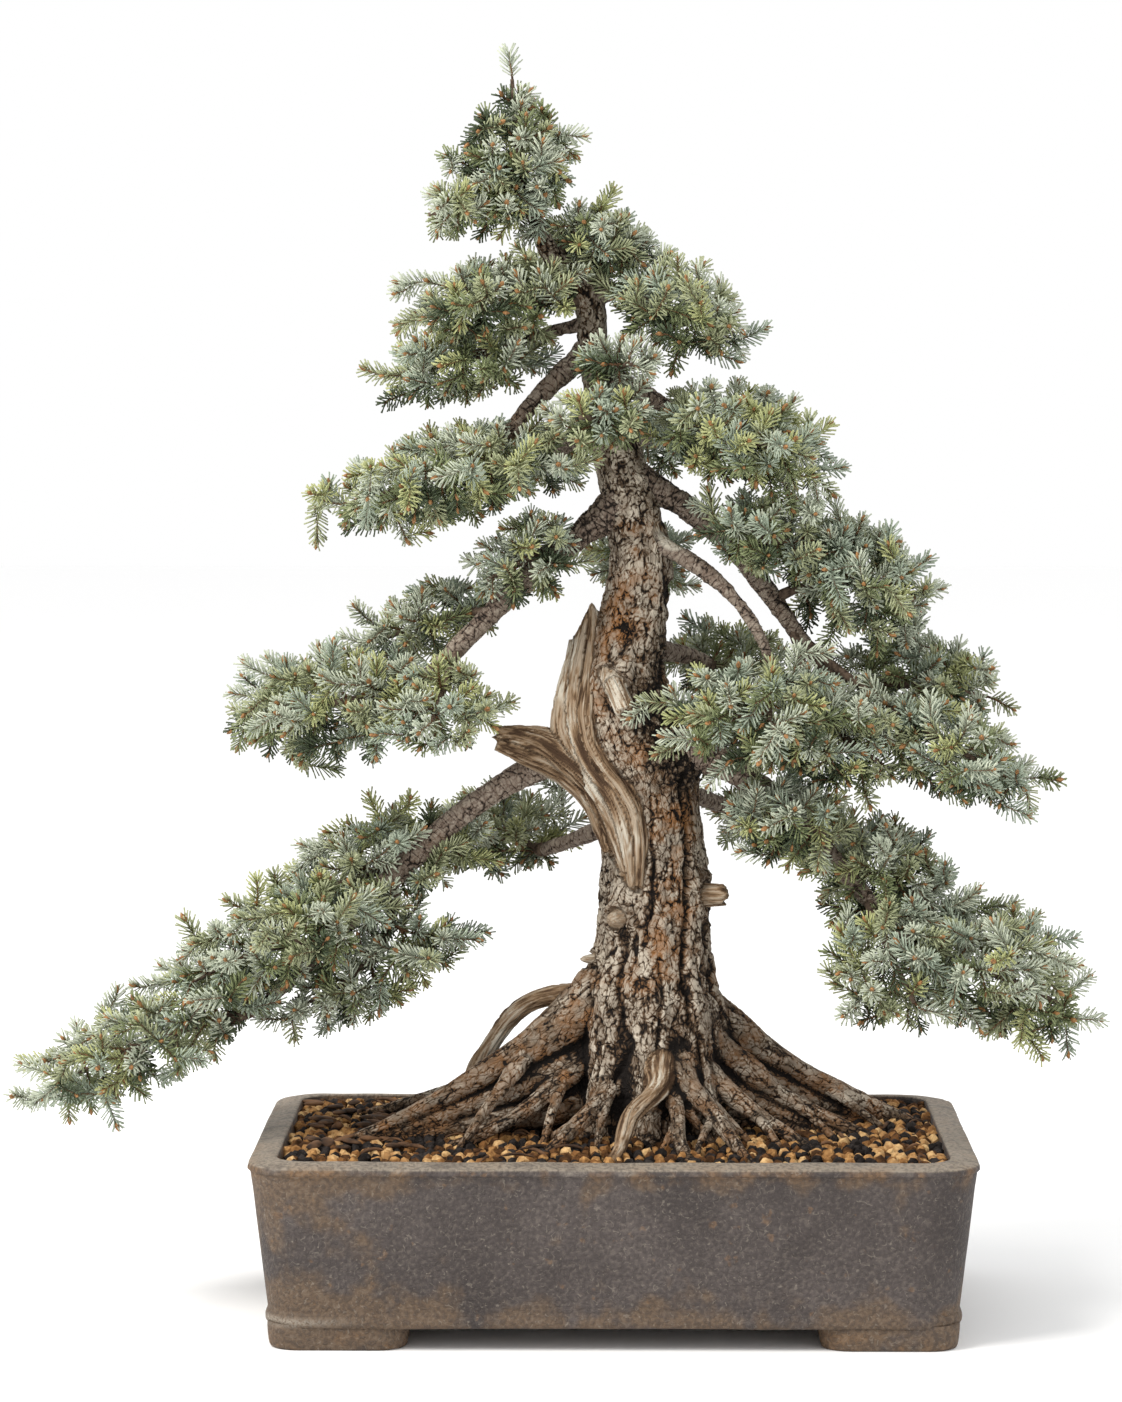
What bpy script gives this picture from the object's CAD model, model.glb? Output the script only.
"""The looks of a spruce bonsai in a stoneware pot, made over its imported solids.

Sizes are in millimetres in the plant's own frame until a mesh is made: the origin is on the ground
under the middle of the pot, X runs to the right, Y to the back and Z up. The limbs and the masses of
foliage repeat the named sizes of the solids, and the twigs go on by the same rule to finer ones.
"""

import logging
import math
import random
from dataclasses import dataclass
from dataclasses import field
from enum import Enum
from typing import Callable
from typing import Sequence

import bmesh
import bpy
import numpy as np
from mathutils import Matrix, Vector


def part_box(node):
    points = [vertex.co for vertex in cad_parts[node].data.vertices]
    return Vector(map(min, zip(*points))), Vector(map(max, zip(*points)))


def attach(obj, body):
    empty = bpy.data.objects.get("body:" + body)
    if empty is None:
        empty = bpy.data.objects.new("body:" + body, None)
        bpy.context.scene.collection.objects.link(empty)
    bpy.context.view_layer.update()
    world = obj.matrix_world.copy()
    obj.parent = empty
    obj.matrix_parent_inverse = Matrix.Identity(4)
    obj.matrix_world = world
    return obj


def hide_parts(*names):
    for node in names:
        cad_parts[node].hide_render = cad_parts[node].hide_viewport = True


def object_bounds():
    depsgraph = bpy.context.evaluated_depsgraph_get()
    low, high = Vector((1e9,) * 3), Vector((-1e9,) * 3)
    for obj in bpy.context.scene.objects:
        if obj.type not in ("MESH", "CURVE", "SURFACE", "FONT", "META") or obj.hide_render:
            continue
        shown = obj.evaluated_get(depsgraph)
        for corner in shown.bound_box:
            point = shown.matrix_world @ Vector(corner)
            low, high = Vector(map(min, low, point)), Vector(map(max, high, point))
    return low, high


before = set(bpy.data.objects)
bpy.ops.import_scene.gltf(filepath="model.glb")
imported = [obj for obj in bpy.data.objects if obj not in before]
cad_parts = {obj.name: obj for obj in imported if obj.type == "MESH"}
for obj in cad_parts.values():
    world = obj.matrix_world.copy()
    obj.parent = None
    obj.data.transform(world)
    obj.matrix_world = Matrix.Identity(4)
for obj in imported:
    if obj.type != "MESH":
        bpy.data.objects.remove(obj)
CAD_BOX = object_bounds()

logging.basicConfig(level=logging.INFO, format="%(message)s")
LOG = logging.getLogger("spruce_bonsai")

Array = np.ndarray
Point = tuple[float, float, float]
Colour = tuple[float, float, float]
Piece = bpy.types.Object
MM = 0.001
BODY = "root"
MOST_TRIANGLES = 190000
GOLDEN_ANGLE = math.radians(137.508)
UP = np.array((0.0, 0.0, 1.0))
# How far apart the bark's patterns of two limbs are read, and how locate() searches
LIMBS_APART = 137.0
STRANDS_APART = 61.0
SEARCH_MARGIN = 70.0
SEARCH_BATCH = 20000
# What one needle is made of
NEEDLE_POINTS = 6
NEEDLE_TRIANGLES = 8

# The soil's surface and the pot's sizes
SOIL_TOP = 114.0
POT_HALF_X = 227.5
POT_HALF_Y = 154.0
POT_HEIGHT = 117.5
POT_CORNER = 34.0
RIM_WIDTH = 18.5

# Trunk: height, X, Y and radius at each change of lean or girth
TRUNK_STATIONS = (
    (104, 25, 0, 57.0),
    (135, 25, 0, 52.0),
    (165, 24, 0, 48.5),
    (200, 23, 0, 44.5),
    (226, 25, 0, 38.5),
    (262, 26, 0, 34.5),
    (317, 24, 0, 31.5),
    (356, 16, 0, 34.0),
    (408, 6, -2, 27.5),
    (452, 13, -5, 21.5),
    (492, 16, -6, 19.5),
    (554, 2, 0, 15.0),
    (619, -13, 2, 10.4),
    (654, -18, 0, 9.6),
    (682, -42, -8, 6.6),
    (722, -57, -15, 3.2),
)
FLARE_LOBES = 8
FLARE_DEPTH = 0.17
FLARE_HEIGHT = 60.0
RIB_DEPTH = 0.022
ROOT_START = 14.0
ROOT_WANDER = 0.09
ROOT_FLARE = 2.0
ROOT_SINK = 3.0
KEEL_START = 66.0


class Surface(Enum):
    """What a limb is covered with."""

    BARK = "bark"
    ROOT = "root"
    WOOD = "wood"


@dataclass(frozen=True)
class Course:
    """How a root runs: shares of its reach and of its start height near the trunk and far from it."""

    start: float
    near_reach: float
    near_start: float
    far_reach: float
    far_start: float
    arch: float


COURSES = {
    Surface.ROOT: Course(1.27, 0.2, 0.84, 0.6, 0.22, 1.0),
    Surface.WOOD: Course(1.0, 0.34, 1.0, 0.66, 0.0, 1.3),
}


@dataclass(frozen=True)
class Root:
    """A surface root: heading from the trunk, reach, start height, arch and its two radii.

    The bulge moves its bends outwards by a share of its reach, and the swerve moves its start aside.
    """

    heading: float
    reach: float
    start: float
    arch: float
    thick: float
    thin: float
    bulge: float = 0.0
    swerve: float = 0.0
    surface: Surface = Surface.ROOT


@dataclass(frozen=True)
class Stub:
    """A short dead limb: from a height on the trunk's axis, or beside it, to a tip, with two radii.

    Its end is torn by about so many millimetres, or is a healed knob where ragged is less than 0.
    """

    height: float
    tip: Point
    thick: float
    thin: float
    ragged: float
    beside: float = 0.0

    def foot(self) -> Array:
        """Where it starts inside the trunk."""
        return trunk_at(self.height)[0] + np.array((self.beside, 0.0, 0.0))


@dataclass(frozen=True)
class Bough:
    """A tapering limb from the trunk's axis to its tip, with its pitch at either end and its sway back."""

    name: str
    height: float
    tip: Point
    leave: float
    arrive: float
    thick: float
    thin: float
    sway: float = 0.0


@dataclass(frozen=True)
class Mass:
    """A mass of foliage: what carries it, the share of the limb, and the space it keeps to."""

    name: str
    limb: str
    share: float
    centre: Point
    half: Point
    slope: float
    heading: float


ROOTS = (
    Root(175, 122, 80, 47, 8.5, 5.5, bulge=0.34, surface=Surface.WOOD),
    Root(192, 196, 88, 10, 27.0, 4.5),
    Root(206, 148, 58, 4, 19.0, 3.5),
    Root(161, 200, 72, 6, 23.0, 4.0),
    Root(232, 112, 56, 4, 19.0, 4.0),
    Root(257, 119, 60, 6, 15.0, 4.5, swerve=16.0, surface=Surface.WOOD),
    Root(282, 108, 60, 4, 20.0, 4.0),
    Root(298, 124, 62, 5, 21.0, 4.0),
    Root(326, 118, 60, 4, 20.0, 4.0),
    Root(352, 140, 66, 6, 23.0, 4.0),
    Root(14, 172, 74, 15, 26.0, 5.5),
    Root(30, 160, 78, 16, 27.0, 5.5),
    Root(78, 112, 58, 5, 24.0, 4.0),
    Root(112, 116, 60, 5, 24.0, 4.0),
)
STUBS = (
    Stub(348, (-76, -14, 375), 16.5, 4.8, 3.6),
    Stub(430, (8, -46, 389.5), 7.4, 6.4, 2.0, beside=-20.0),
    Stub(256, (-4, -35, 256), 6.2, 5.8, -1.0),
    Stub(268, (72, -14, 270), 9.0, 6.8, 4.0),
    Stub(229, (-23, -12, 228), 4.2, 3.0, -1.0),
)
# The swollen collar under the lowest right bough
COLLAR = Stub(366, (55, -12, 352), 22.0, 13.0, 0.0)
# Torn deadwood up the trunk's left side: height, X, Y, half width and half depth up each splinter
SPLINTERS = (
    (
        (344, -24.0, -5.0, 17.0, 11.0), (364, -27.0, -5.0, 15.0, 10.0), (384, -27.0, -5.0, 11.0, 9.0),
        (402, -25.5, -5.0, 9.5, 8.0), (418, -22.5, -5.0, 9.0, 7.0), (434, -18.5, -5.0, 7.5, 5.5),
        (447, -15.5, -5.0, 4.5, 3.5), (457, -14.0, -5.0, 1.0, 1.0),
    ),
    (
        (392, -29.0, -4.0, 5.0, 6.0), (412, -28.0, -3.0, 4.6, 4.5), (433, -28.0, -2.0, 1.0, 1.0),
    ),
)
# Strands of bare wood that run from the splinter and the broken limb down into the tongue: X, Y, Z and radius
STRANDS = (
    (
        (-13, -7, 455, 1.2), (-13, -10, 440, 3.6), (-14, -14, 420, 5.0), (-17, -17, 400, 5.5),
        (-18, -19, 385, 6.0), (-15, -22, 368, 6.0), (-6, -26, 353, 6.0), (5, -29, 340, 6.0),
        (13, -31, 325, 5.5), (16, -32, 308, 5.0), (16, -33, 290, 4.0), (15, -33, 277, 2.6),
    ),
    (
        (-18, -6, 446, 2.2), (-21, -9, 425, 4.6), (-24, -11, 405, 5.5), (-25, -13, 388, 6.5),
        (-22, -17, 370, 7.0), (-14, -21, 354, 7.0), (-3, -25, 340, 7.0), (5, -28, 325, 6.5),
        (9, -30, 308, 6.0), (11, -32, 290, 4.5), (12, -33, 277, 2.6),
    ),
    (
        (-26, -4, 430, 2.6), (-29, -6, 410, 5.0), (-32, -8, 393, 6.5), (-33, -11, 378, 8.0),
        (-27, -14, 363, 8.5), (-18, -18, 348, 7.5), (-8, -22, 333, 7.0), (-1, -25, 318, 6.0),
        (4, -28, 302, 5.0), (8, -31, 286, 3.2),
    ),
    (
        (-77, -14, 375, 4.0), (-62, -14, 373, 6.5), (-48, -14, 369, 8.0), (-36, -14, 362, 8.5),
        (-24, -16, 352, 8.5), (-13, -19, 340, 7.5), (-6, -22, 326, 6.5), (-1, -25, 312, 5.0),
        (3, -28, 298, 3.4),
    ),
    (
        (-75, -14, 367, 4.5), (-60, -13, 362, 7.0), (-45, -11, 356, 8.0), (-32, -10, 349, 8.0),
        (-20, -12, 338, 7.0), (-12, -16, 326, 6.0), (-8, -19, 312, 5.0), (-4, -23, 298, 3.2),
    ),
)

BOUGHS = (
    Bough("left_low", 366, (-227, -25, 198), -3, -40, 11.0, 4.2, 16.0),
    Bough("left_mid", 521, (-111, -22, 418), -28, -44, 10.5, 5.2),
    Bough("left_high", 618, (-67, -8, 566), -30, -50, 6.8, 4.8),
    Bough("left_top", 635, (-56, 8, 626), -5, -14, 4.2, 3.2),
    Bough("left_back", 322, (-46, 78, 290), -14, -14, 7.0, 4.6),
    Bough("right_low", 368, (186, -52, 243), 0, -46, 11.5, 4.6),
    Bough("right_mid", 500, (98, -34, 424), -18, -70, 6.2, 3.6, -12.0),
    Bough("right_high", 536, (129, 0, 421), -14, -54, 9.0, 4.6),
    Bough("right_inner", 430, (61, 72, 414), -12, -18, 8.0, 4.6),
    Bough("right_upper", 599, (51, -8, 571), -8, -32, 6.8, 4.4),
    Bough("right_top", 652, (26, -8, 646), 22, -38, 5.8, 3.8),
    Bough("back_right", 336, (74, 84, 318), 2, -14, 7.5, 4.6),
    Bough("back_high", 500, (16, 66, 490), 2, -10, 6.5, 4.2),
    Bough("back_low", 390, (54, 90, 366), 0, -12, 8.5, 5.0),
    Bough("back_mid", 560, (28, 84, 561), 8, 0, 6.0, 4.0),
    Bough("back_left", 572, (-44, 76, 546), 0, -14, 5.4, 3.6),
)

MASSES = (
    Mass("apex", "trunk", 1.0, (-62, -18, 749), (56, 40, 38), -86, 180),
    Mass("left_low_far", "left_low", 1.0, (-290, -18, 182), (99, 60, 34), 27, 180),
    Mass("left_low_mid", "left_low", 0.82, (-216, -50, 245), (78, 52, 34), 27, 186),
    Mass("left_low_near", "left_low", 0.58, (-156, 20, 283), (82, 58, 32), 24, 175),
    Mass("left_low_under", "left_low", 0.62, (-152, -10, 222), (68, 46, 29), 26, 186),
    Mass("left_back", "left_back", 1.0, (-78, 112, 299), (59, 56, 28), 8, 160),
    Mass("left_mid_near", "left_mid", 0.34, (-54, -34, 487), (42, 36, 26), 28, 190),
    Mass("left_mid_inner", "left_mid", 0.72, (-121, 36, 443), (54, 46, 24), 22, 165),
    Mass("left_mid_outer", "left_mid", 1.0, (-189, -10, 391), (62, 70, 38), 8, 180),
    Mass("left_mid_front", "left_mid", 0.9, (-112, -60, 393), (46, 44, 27), 10, 268),
    Mass("left_high", "left_high", 1.0, (-105, -18, 537), (91, 78, 32), 14, 180),
    Mass("left_top_low", "left_top", 1.0, (-99, 10, 609), (59, 58, 25), 8, 180),
    Mass("left_top_high", "trunk", 0.88, (-76, -24, 650), (58, 48, 26), 6, 185),
    Mass("apex_left", "trunk", 0.97, (-88, -22, 709), (42, 40, 20), 10, 180),
    Mass("right_crest", "trunk", 0.93, (-8, 0, 686), (38, 46, 27), 14, 0),
    Mass("right_top", "right_top", 1.0, (41, -12, 643), (52, 60, 29), 22, 0),
    Mass("right_upper", "right_upper", 1.0, (81, -20, 563), (62, 74, 34), 18, 0),
    Mass("front_top", "trunk", 0.79, (2, -48, 609), (25, 26, 18), 0, -60),
    Mass("front_upper", "trunk", 0.73, (-8, -58, 576), (36, 32, 19), 0, -120),
    Mass("right_high_near", "right_high", 0.50, (105, -30, 500), (54, 56, 27), 16, -8),
    Mass("right_high_far", "right_high", 0.74, (157, -5, 472), (53, 74, 38), 22, 4),
    Mass("right_mid_far", "right_high", 0.92, (216, -40, 364), (63, 58, 30), 24, -4),
    Mass("right_mid_back", "right_high", 1.0, (202, 36, 404), (59, 62, 33), 14, 8),
    Mass("right_mid_near", "right_mid", 1.0, (95, -62, 390), (59, 62, 37), 8, -84),
    Mass("right_mid_under", "right_high", 0.86, (142, -44, 372), (48, 44, 33), 22, -36),
    Mass("right_inner", "right_inner", 1.0, (73, 112, 412), (47, 52, 27), 4, 35),
    Mass("right_low_near", "right_low", 0.45, (108, -48, 321), (40, 42, 29), 14, -20),
    Mass("right_low_inner", "right_low", 0.74, (176, -12, 281), (54, 62, 39), 30, 0),
    Mass("right_low_far", "right_low", 1.0, (241, -40, 226), (70, 70, 40), 28, 0),
    Mass("right_low_under", "right_low", 0.84, (176, -82, 234), (44, 42, 42), 44, -60),
    Mass("back_low", "back_low", 1.0, (62, 140, 358), (54, 56, 26), 8, 75),
    Mass("back_right", "back_right", 1.0, (114, 120, 305), (54, 48, 26), 10, 45),
    Mass("back_high", "back_high", 1.0, (16, 112, 480), (58, 36, 24), 8, 90),
    Mass("back_mid", "back_mid", 1.0, (33, 128, 562), (45, 48, 24), 8, 65),
    Mass("back_left", "back_left", 1.0, (-58, 112, 547), (42, 44, 23), 8, 130),
    Mass("back_top", "trunk", 0.86, (-35, 52, 668), (41, 36, 22), 8, 95),
)


# Small sums

def display(red: float, green: float, blue: float) -> Colour:
    """A linear colour from the 0 to 255 values that a screen shows.

    Args:
        red: The screen's red.
        green: The screen's green.
        blue: The screen's blue.

    Returns:
        The linear colour.
    """
    values = []
    for value in (red, green, blue):
        share = value / 255
        values.append(share / 12.92 if share <= 0.04045 else ((share + 0.055) / 1.055) ** 2.4)
    return (values[0], values[1], values[2])


def ramp(low: float, high: float, values: Array) -> Array:
    """A smooth step from 0 at the low value to 1 at the high one, for each of the values."""
    share = np.clip((values - low) / (high - low), 0.0, 1.0)
    return share * share * (3 - 2 * share)


def unit(vectors: Array) -> Array:
    """The vectors at length 1."""
    return vectors / np.maximum(np.linalg.norm(vectors, axis=-1, keepdims=True), 1e-9)


def norms(rows: Array) -> Array:
    """The length of each row."""
    return np.linalg.norm(rows, axis=-1)


def columns(*values: Array) -> Array:
    """Rows of numbers, one from each of the values."""
    return np.stack(values, axis=1)


def blend(first: Array, second: Array, share: Array) -> Array:
    """What lies between two values, by a share from 0 to 1."""
    return first * (1 - share) + second * share


def bezier(points: Sequence[Array], shares: Array) -> Array:
    """Points on a cubic curve.

    Args:
        points: The curve's four control points.
        shares: Where to read it, from 0 to 1.

    Returns:
        One point for each share.
    """
    a, b, c, d = points
    t = shares[:, None]
    return (1 - t) ** 3 * a + 3 * (1 - t) ** 2 * t * b + 3 * (1 - t) * t * t * c + t**3 * d


def frames_along(path: Array) -> tuple[Array, Array, Array]:
    """The direction of a path at each point and two crosswise ones, carried along without twist.

    Args:
        path: The path's points.

    Returns:
        The directions along, to the side and up.
    """
    ahead = unit(np.gradient(path, axis=0))
    side = np.array((1.0, 0.0, 0.0))
    if abs(ahead[0][2]) <= 0.9:
        side = unit(np.cross(ahead[0], UP))
    sides = []
    for direction in ahead:
        side = unit(side - direction * side.dot(direction))
        sides.append(side)
    return ahead, np.array(sides), np.cross(ahead, np.array(sides))


class Noise:
    """Seeded noise and cell patterns over points, worked out with arrays."""

    def __init__(self, seed: int) -> None:
        """Keeps the seed."""
        self.seed = seed

    def random(self, cells: Array, salt: int = 0) -> Array:
        """A number from 0 to 1 for each whole cell.

        Args:
            cells: Whole coordinates, three to a cell.
            salt: Which of many such fields to read.

        Returns:
            The numbers.
        """
        mixed = np.full(cells.shape[:-1], self.seed * 7919 + salt, np.int64)
        for axis in range(3):
            mixed = mixed * 31 + cells[..., axis].astype(np.int64)
            mixed = ((mixed ^ (mixed >> 16)) & 0xFFFFFFFF) * 0x7FEB352D & 0xFFFFFFFF
            mixed = (mixed ^ (mixed >> 15)) * 0x2C1B3C6D & 0xFFFFFFFF
            mixed = mixed ^ (mixed >> 12)
        return mixed / float(0x100000000)

    def value(self, points: Array, salt: int = 0) -> Array:
        """Smooth noise from -1 to 1 with features one unit wide.

        Args:
            points: Where to read it.
            salt: Which of many such fields to read.

        Returns:
            The noise.
        """
        base = np.floor(points)
        share = points - base
        share = share * share * (3 - 2 * share)
        total = np.zeros(len(points))
        for corner in np.ndindex(2, 2, 2):
            weight = np.prod(np.where(np.array(corner) == 1, share, 1 - share), axis=1)
            total += weight * self.random(base + np.array(corner), salt)
        return total * 2 - 1

    def along(self, steps: Array, row: float) -> Array:
        """Smooth noise from -1 to 1 at steps along one of many lines."""
        return self.value(columns(steps, steps * 0 + row, steps * 0), 0)

    def way(self, points: Array, salt: int) -> Array:
        """Three smooth noises at each point, as a way to move it."""
        return columns(*(self.value(points, salt + k) for k in range(3)))

    def fractal(self, points: Array, octaves: int, salt: int = 0) -> Array:
        """Noise in several sizes, each half as wide and as strong as the last.

        Args:
            points: Where to read it.
            octaves: How many sizes.
            salt: Which of many such fields to read.

        Returns:
            The noise, about -1 to 1.
        """
        total = np.zeros(len(points))
        strength = 1.0
        for octave in range(octaves):
            total += strength * self.value(points * 2.0**octave, salt + octave)
            strength *= 0.5
        return total / (2 - 2 * strength)

    def cells(self, points: Array, salt: int = 0) -> tuple[Array, Array, Array]:
        """The cell pattern round seeded points.

        Args:
            points: Where to read it.
            salt: Which of many such fields to read.

        Returns:
            How far inside its cell each point is, the cell's random number, and the way from its seed.
        """
        base = np.floor(points)
        nearest = np.full(len(points), 9.0)
        second = np.full(len(points), 9.0)
        number = np.zeros(len(points))
        offset = np.zeros_like(points)
        for corner in np.ndindex(3, 3, 3):
            cell = base + np.array(corner) - 1
            seeds = cell + columns(*[self.random(cell, salt + k) for k in (1, 2, 3)])
            away = points - seeds
            distance = norms(away)
            closer = distance < nearest
            second = np.where(closer, nearest, np.minimum(second, distance))
            nearest = np.where(closer, distance, nearest)
            number = np.where(closer, self.random(cell, salt + 4), number)
            offset = np.where(closer[:, None], away, offset)
        return second - nearest, number, offset


# Meshes from arrays

@dataclass
class Shape:
    """Points and triangles that become one mesh."""

    points: Array
    triangles: Array

    @staticmethod
    def joined(shapes: Sequence["Shape"]) -> "Shape":
        """All the shapes as one.

        Args:
            shapes: The shapes to put together.

        Returns:
            One shape with all their points and triangles.
        """
        points = []
        triangles = []
        count = 0
        for shape in shapes:
            points.append(shape.points)
            triangles.append(shape.triangles + count)
            count += len(shape.points)
        return Shape(np.concatenate(points), np.concatenate(triangles))


def add_object(name: str, data: bpy.types.ID) -> Piece:
    """An object in the scene.

    Args:
        name: The object's name.
        data: Its mesh, lamp or camera.

    Returns:
        The object.
    """
    obj = bpy.data.objects.new(name, data)
    bpy.context.scene.collection.objects.link(obj)
    return obj


class Plant:
    """Where the plant stands in the frame, and how its pieces are handed over."""

    def __init__(self) -> None:
        """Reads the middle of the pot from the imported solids."""
        low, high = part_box("pot")
        self.origin = np.array(((low.x + high.x) / 2, (low.y + high.y) / 2, 0.0))
        self.nodes = sorted(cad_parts)

    def named(self, start: str) -> list[str]:
        """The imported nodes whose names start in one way."""
        return [name for name in self.nodes if name.startswith(start)]

    def mesh_object(self, name: str, shape: Shape) -> Piece:
        """An object whose mesh holds its place in the frame.

        Args:
            name: The piece's name.
            shape: Its points, in the plant's millimetres, and triangles.

        Returns:
            The object, at the origin.
        """
        mesh = bpy.data.meshes.new(name)
        count = len(shape.triangles)
        mesh.vertices.add(len(shape.points))
        mesh.vertices.foreach_set("co", (shape.points * MM + self.origin).astype(np.float32).ravel())
        mesh.loops.add(count * 3)
        mesh.loops.foreach_set("vertex_index", shape.triangles.astype(np.int32).ravel())
        mesh.polygons.add(count)
        mesh.polygons.foreach_set("loop_start", np.arange(0, count * 3, 3, dtype=np.int32))
        mesh.update(calc_edges=True)
        mesh.validate()
        return add_object(name, mesh)

    def points_of(self, obj: Piece) -> Array:
        """The points of an object's mesh.

        Args:
            obj: The object.

        Returns:
            The points, in the plant's millimetres.
        """
        flat = np.zeros(len(obj.data.vertices) * 3, np.float32)
        obj.data.vertices.foreach_get("co", flat)
        return (flat.reshape(-1, 3).astype(float) - self.origin) / MM

    def set_points(self, obj: Piece, points: Array) -> None:
        """Moves the points of an object's mesh to places in the plant's millimetres."""
        obj.data.vertices.foreach_set("co", (points * MM + self.origin).astype(np.float32).ravel())
        obj.data.update()

    def settle(self, obj: Piece) -> None:
        """Swaps an object's modifiers for the mesh that they make.

        Args:
            obj: The object.
        """
        graph = bpy.context.evaluated_depsgraph_get()
        mesh = bpy.data.meshes.new_from_object(obj.evaluated_get(graph))
        obj.modifiers.clear()
        old = obj.data
        obj.data = mesh
        bpy.data.meshes.remove(old)
        obj.data.name = obj.name

    def remesh(self, obj: Piece, voxel: float, smoothing: int) -> None:
        """Makes overlapping tubes one even skin.

        Args:
            obj: The object whose mesh holds the tubes.
            voxel: The skin's mesh size in millimetres.
            smoothing: How many times the crotches are softened.
        """
        skin = obj.modifiers.new("skin", "REMESH")
        skin.mode = "VOXEL"
        skin.voxel_size = voxel * MM
        soften = obj.modifiers.new("soften", "SMOOTH")
        soften.factor = 0.5
        soften.iterations = smoothing
        self.settle(obj)

    def hollows(self, obj: Piece, rounds: int) -> Array:
        """How far each point of a mesh lies below the surface's average round it.

        Args:
            obj: The object.
            rounds: How often the average spreads, which sets how wide it reaches.

        Returns:
            The depths in millimetres, less than 0 on what stands out.
        """
        points = self.points_of(obj)
        flat = np.zeros(len(obj.data.edges) * 2, np.int32)
        obj.data.edges.foreach_get("vertices", flat)
        ends = flat.reshape(-1, 2)
        here, there = np.concatenate([ends, ends[:, ::-1]]).T
        neighbours = np.bincount(here, minlength=len(points))[:, None]
        even = points
        for _ in range(rounds):
            sums = [np.bincount(here, even[there, k], len(points)) for k in range(3)]
            even = columns(*sums) / neighbours
        return ((even - points) * point_normals(obj)).sum(axis=1)

    def hand_over(
        self,
        obj: Piece,
        material: bpy.types.Material,
        slot: str,
        nodes: Sequence[str] = (),
        smooth: bool = True,
    ) -> None:
        """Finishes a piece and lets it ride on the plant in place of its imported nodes.

        Args:
            obj: The piece.
            material: Its material.
            slot: The record's material slot.
            nodes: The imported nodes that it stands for.
            smooth: Whether the whole of it is shaded smooth.
        """
        obj.data.materials.clear()
        obj.data.materials.append(material)
        if smooth:
            obj.data.shade_smooth()
        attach(obj, BODY)
        if nodes:
            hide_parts(*nodes)
        obj.data.calc_loop_triangles()
        LOG.info("%s: %d triangles", obj.name, len(obj.data.loop_triangles))


def store(obj: Piece, **values: Array) -> None:
    """Stores a number or three at each point for the finish to read.

    Args:
        obj: The object.
        values: What is stored, by the attribute's name.
    """
    for name, numbers in values.items():
        kind, slot = ("FLOAT", "value") if numbers.ndim == 1 else ("FLOAT_VECTOR", "vector")
        attribute = obj.data.attributes.new(name, kind, "POINT")
        attribute.data.foreach_set(slot, numbers.astype(np.float32).ravel())


def point_normals(obj: Piece) -> Array:
    """The outward direction at each point of a mesh.

    Args:
        obj: The mesh's object.

    Returns:
        The directions.
    """
    flat = np.zeros(len(obj.data.vertices) * 3, np.float32)
    obj.data.vertex_normals.foreach_get("vector", flat)
    return flat.reshape(-1, 3).astype(float)


def rings_to_shape(rings: Array) -> Shape:
    """A closed solid through rings of points, with a point in the middle of either end.

    Args:
        rings: Ring by ring, each with the same number of points, running anticlockwise.

    Returns:
        The solid.
    """
    rows, sides, _ = rings.shape
    ends = np.stack([rings[0].mean(axis=0), rings[-1].mean(axis=0)])
    points = np.concatenate([rings.reshape(-1, 3), ends])
    here = np.arange(sides)
    after = (here + 1) % sides
    triangles = []
    for row in range(rows - 1):
        low = row * sides
        high = low + sides
        triangles.append(columns(low + here, low + after, high + after))
        triangles.append(columns(low + here, high + after, high + here))
    first = rows * sides
    top = (rows - 1) * sides
    triangles.append(columns(after, here, np.full(sides, first)))
    triangles.append(columns(top + here, top + after, np.full(sides, first + 1)))
    return Shape(points, np.concatenate(triangles))


def tube(
    path: Array,
    radii: Array,
    sides: int,
    lobes: Callable[[Array, Array], Array] | None = None,
) -> Shape:
    """A closed tapering tube.

    Args:
        path: The points of its middle line.
        radii: Its radius at each point.
        sides: How many sides it has.
        lobes: What the radius is multiplied by, from a ring's middle and its angles.

    Returns:
        The tube.
    """
    _, side, up = frames_along(path)
    angles = np.arange(sides) * math.tau / sides
    rings = []
    for i, centre in enumerate(path):
        wide = np.full(sides, radii[i])
        if lobes is not None:
            wide = wide * lobes(centre, angles)
        ring = centre + (np.outer(np.cos(angles), side[i]) + np.outer(np.sin(angles), up[i])) * wide[:, None]
        rings.append(ring)
    return rings_to_shape(np.array(rings))


# Shader maths

class Wire:
    """A socket that takes part in Python sums, each of which adds its Math node."""

    def __init__(self, shader: "Shader", socket: bpy.types.NodeSocket) -> None:
        """Keeps the shader and the socket."""
        self.shader = shader
        self.socket = socket

    def _sum(self, operation: str, *values: object) -> "Wire":
        """One Math node on values or sockets."""
        return self.shader.read("ShaderNodeMath", 0, {"operation": operation}, dict(enumerate(values)))

    def __add__(self, other: object) -> "Wire":
        """The sum."""
        return self._sum("ADD", self, other)

    __radd__ = __add__

    def __mul__(self, other: object) -> "Wire":
        """The product."""
        return self._sum("MULTIPLY", self, other)

    __rmul__ = __mul__

    def __sub__(self, other: object) -> "Wire":
        """The difference."""
        return self._sum("SUBTRACT", self, other)

    def __rsub__(self, other: object) -> "Wire":
        """The difference the other way round."""
        return self._sum("SUBTRACT", other, self)

    def over(self, low: float, high: float) -> "Wire":
        """A smooth step from 0 at the low value to 1 at the high one."""
        inputs = {"Value": self, "From Min": low, "From Max": high}
        return self.shader.read("ShaderNodeMapRange", 0, {"interpolation_type": "SMOOTHSTEP"}, inputs)


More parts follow.
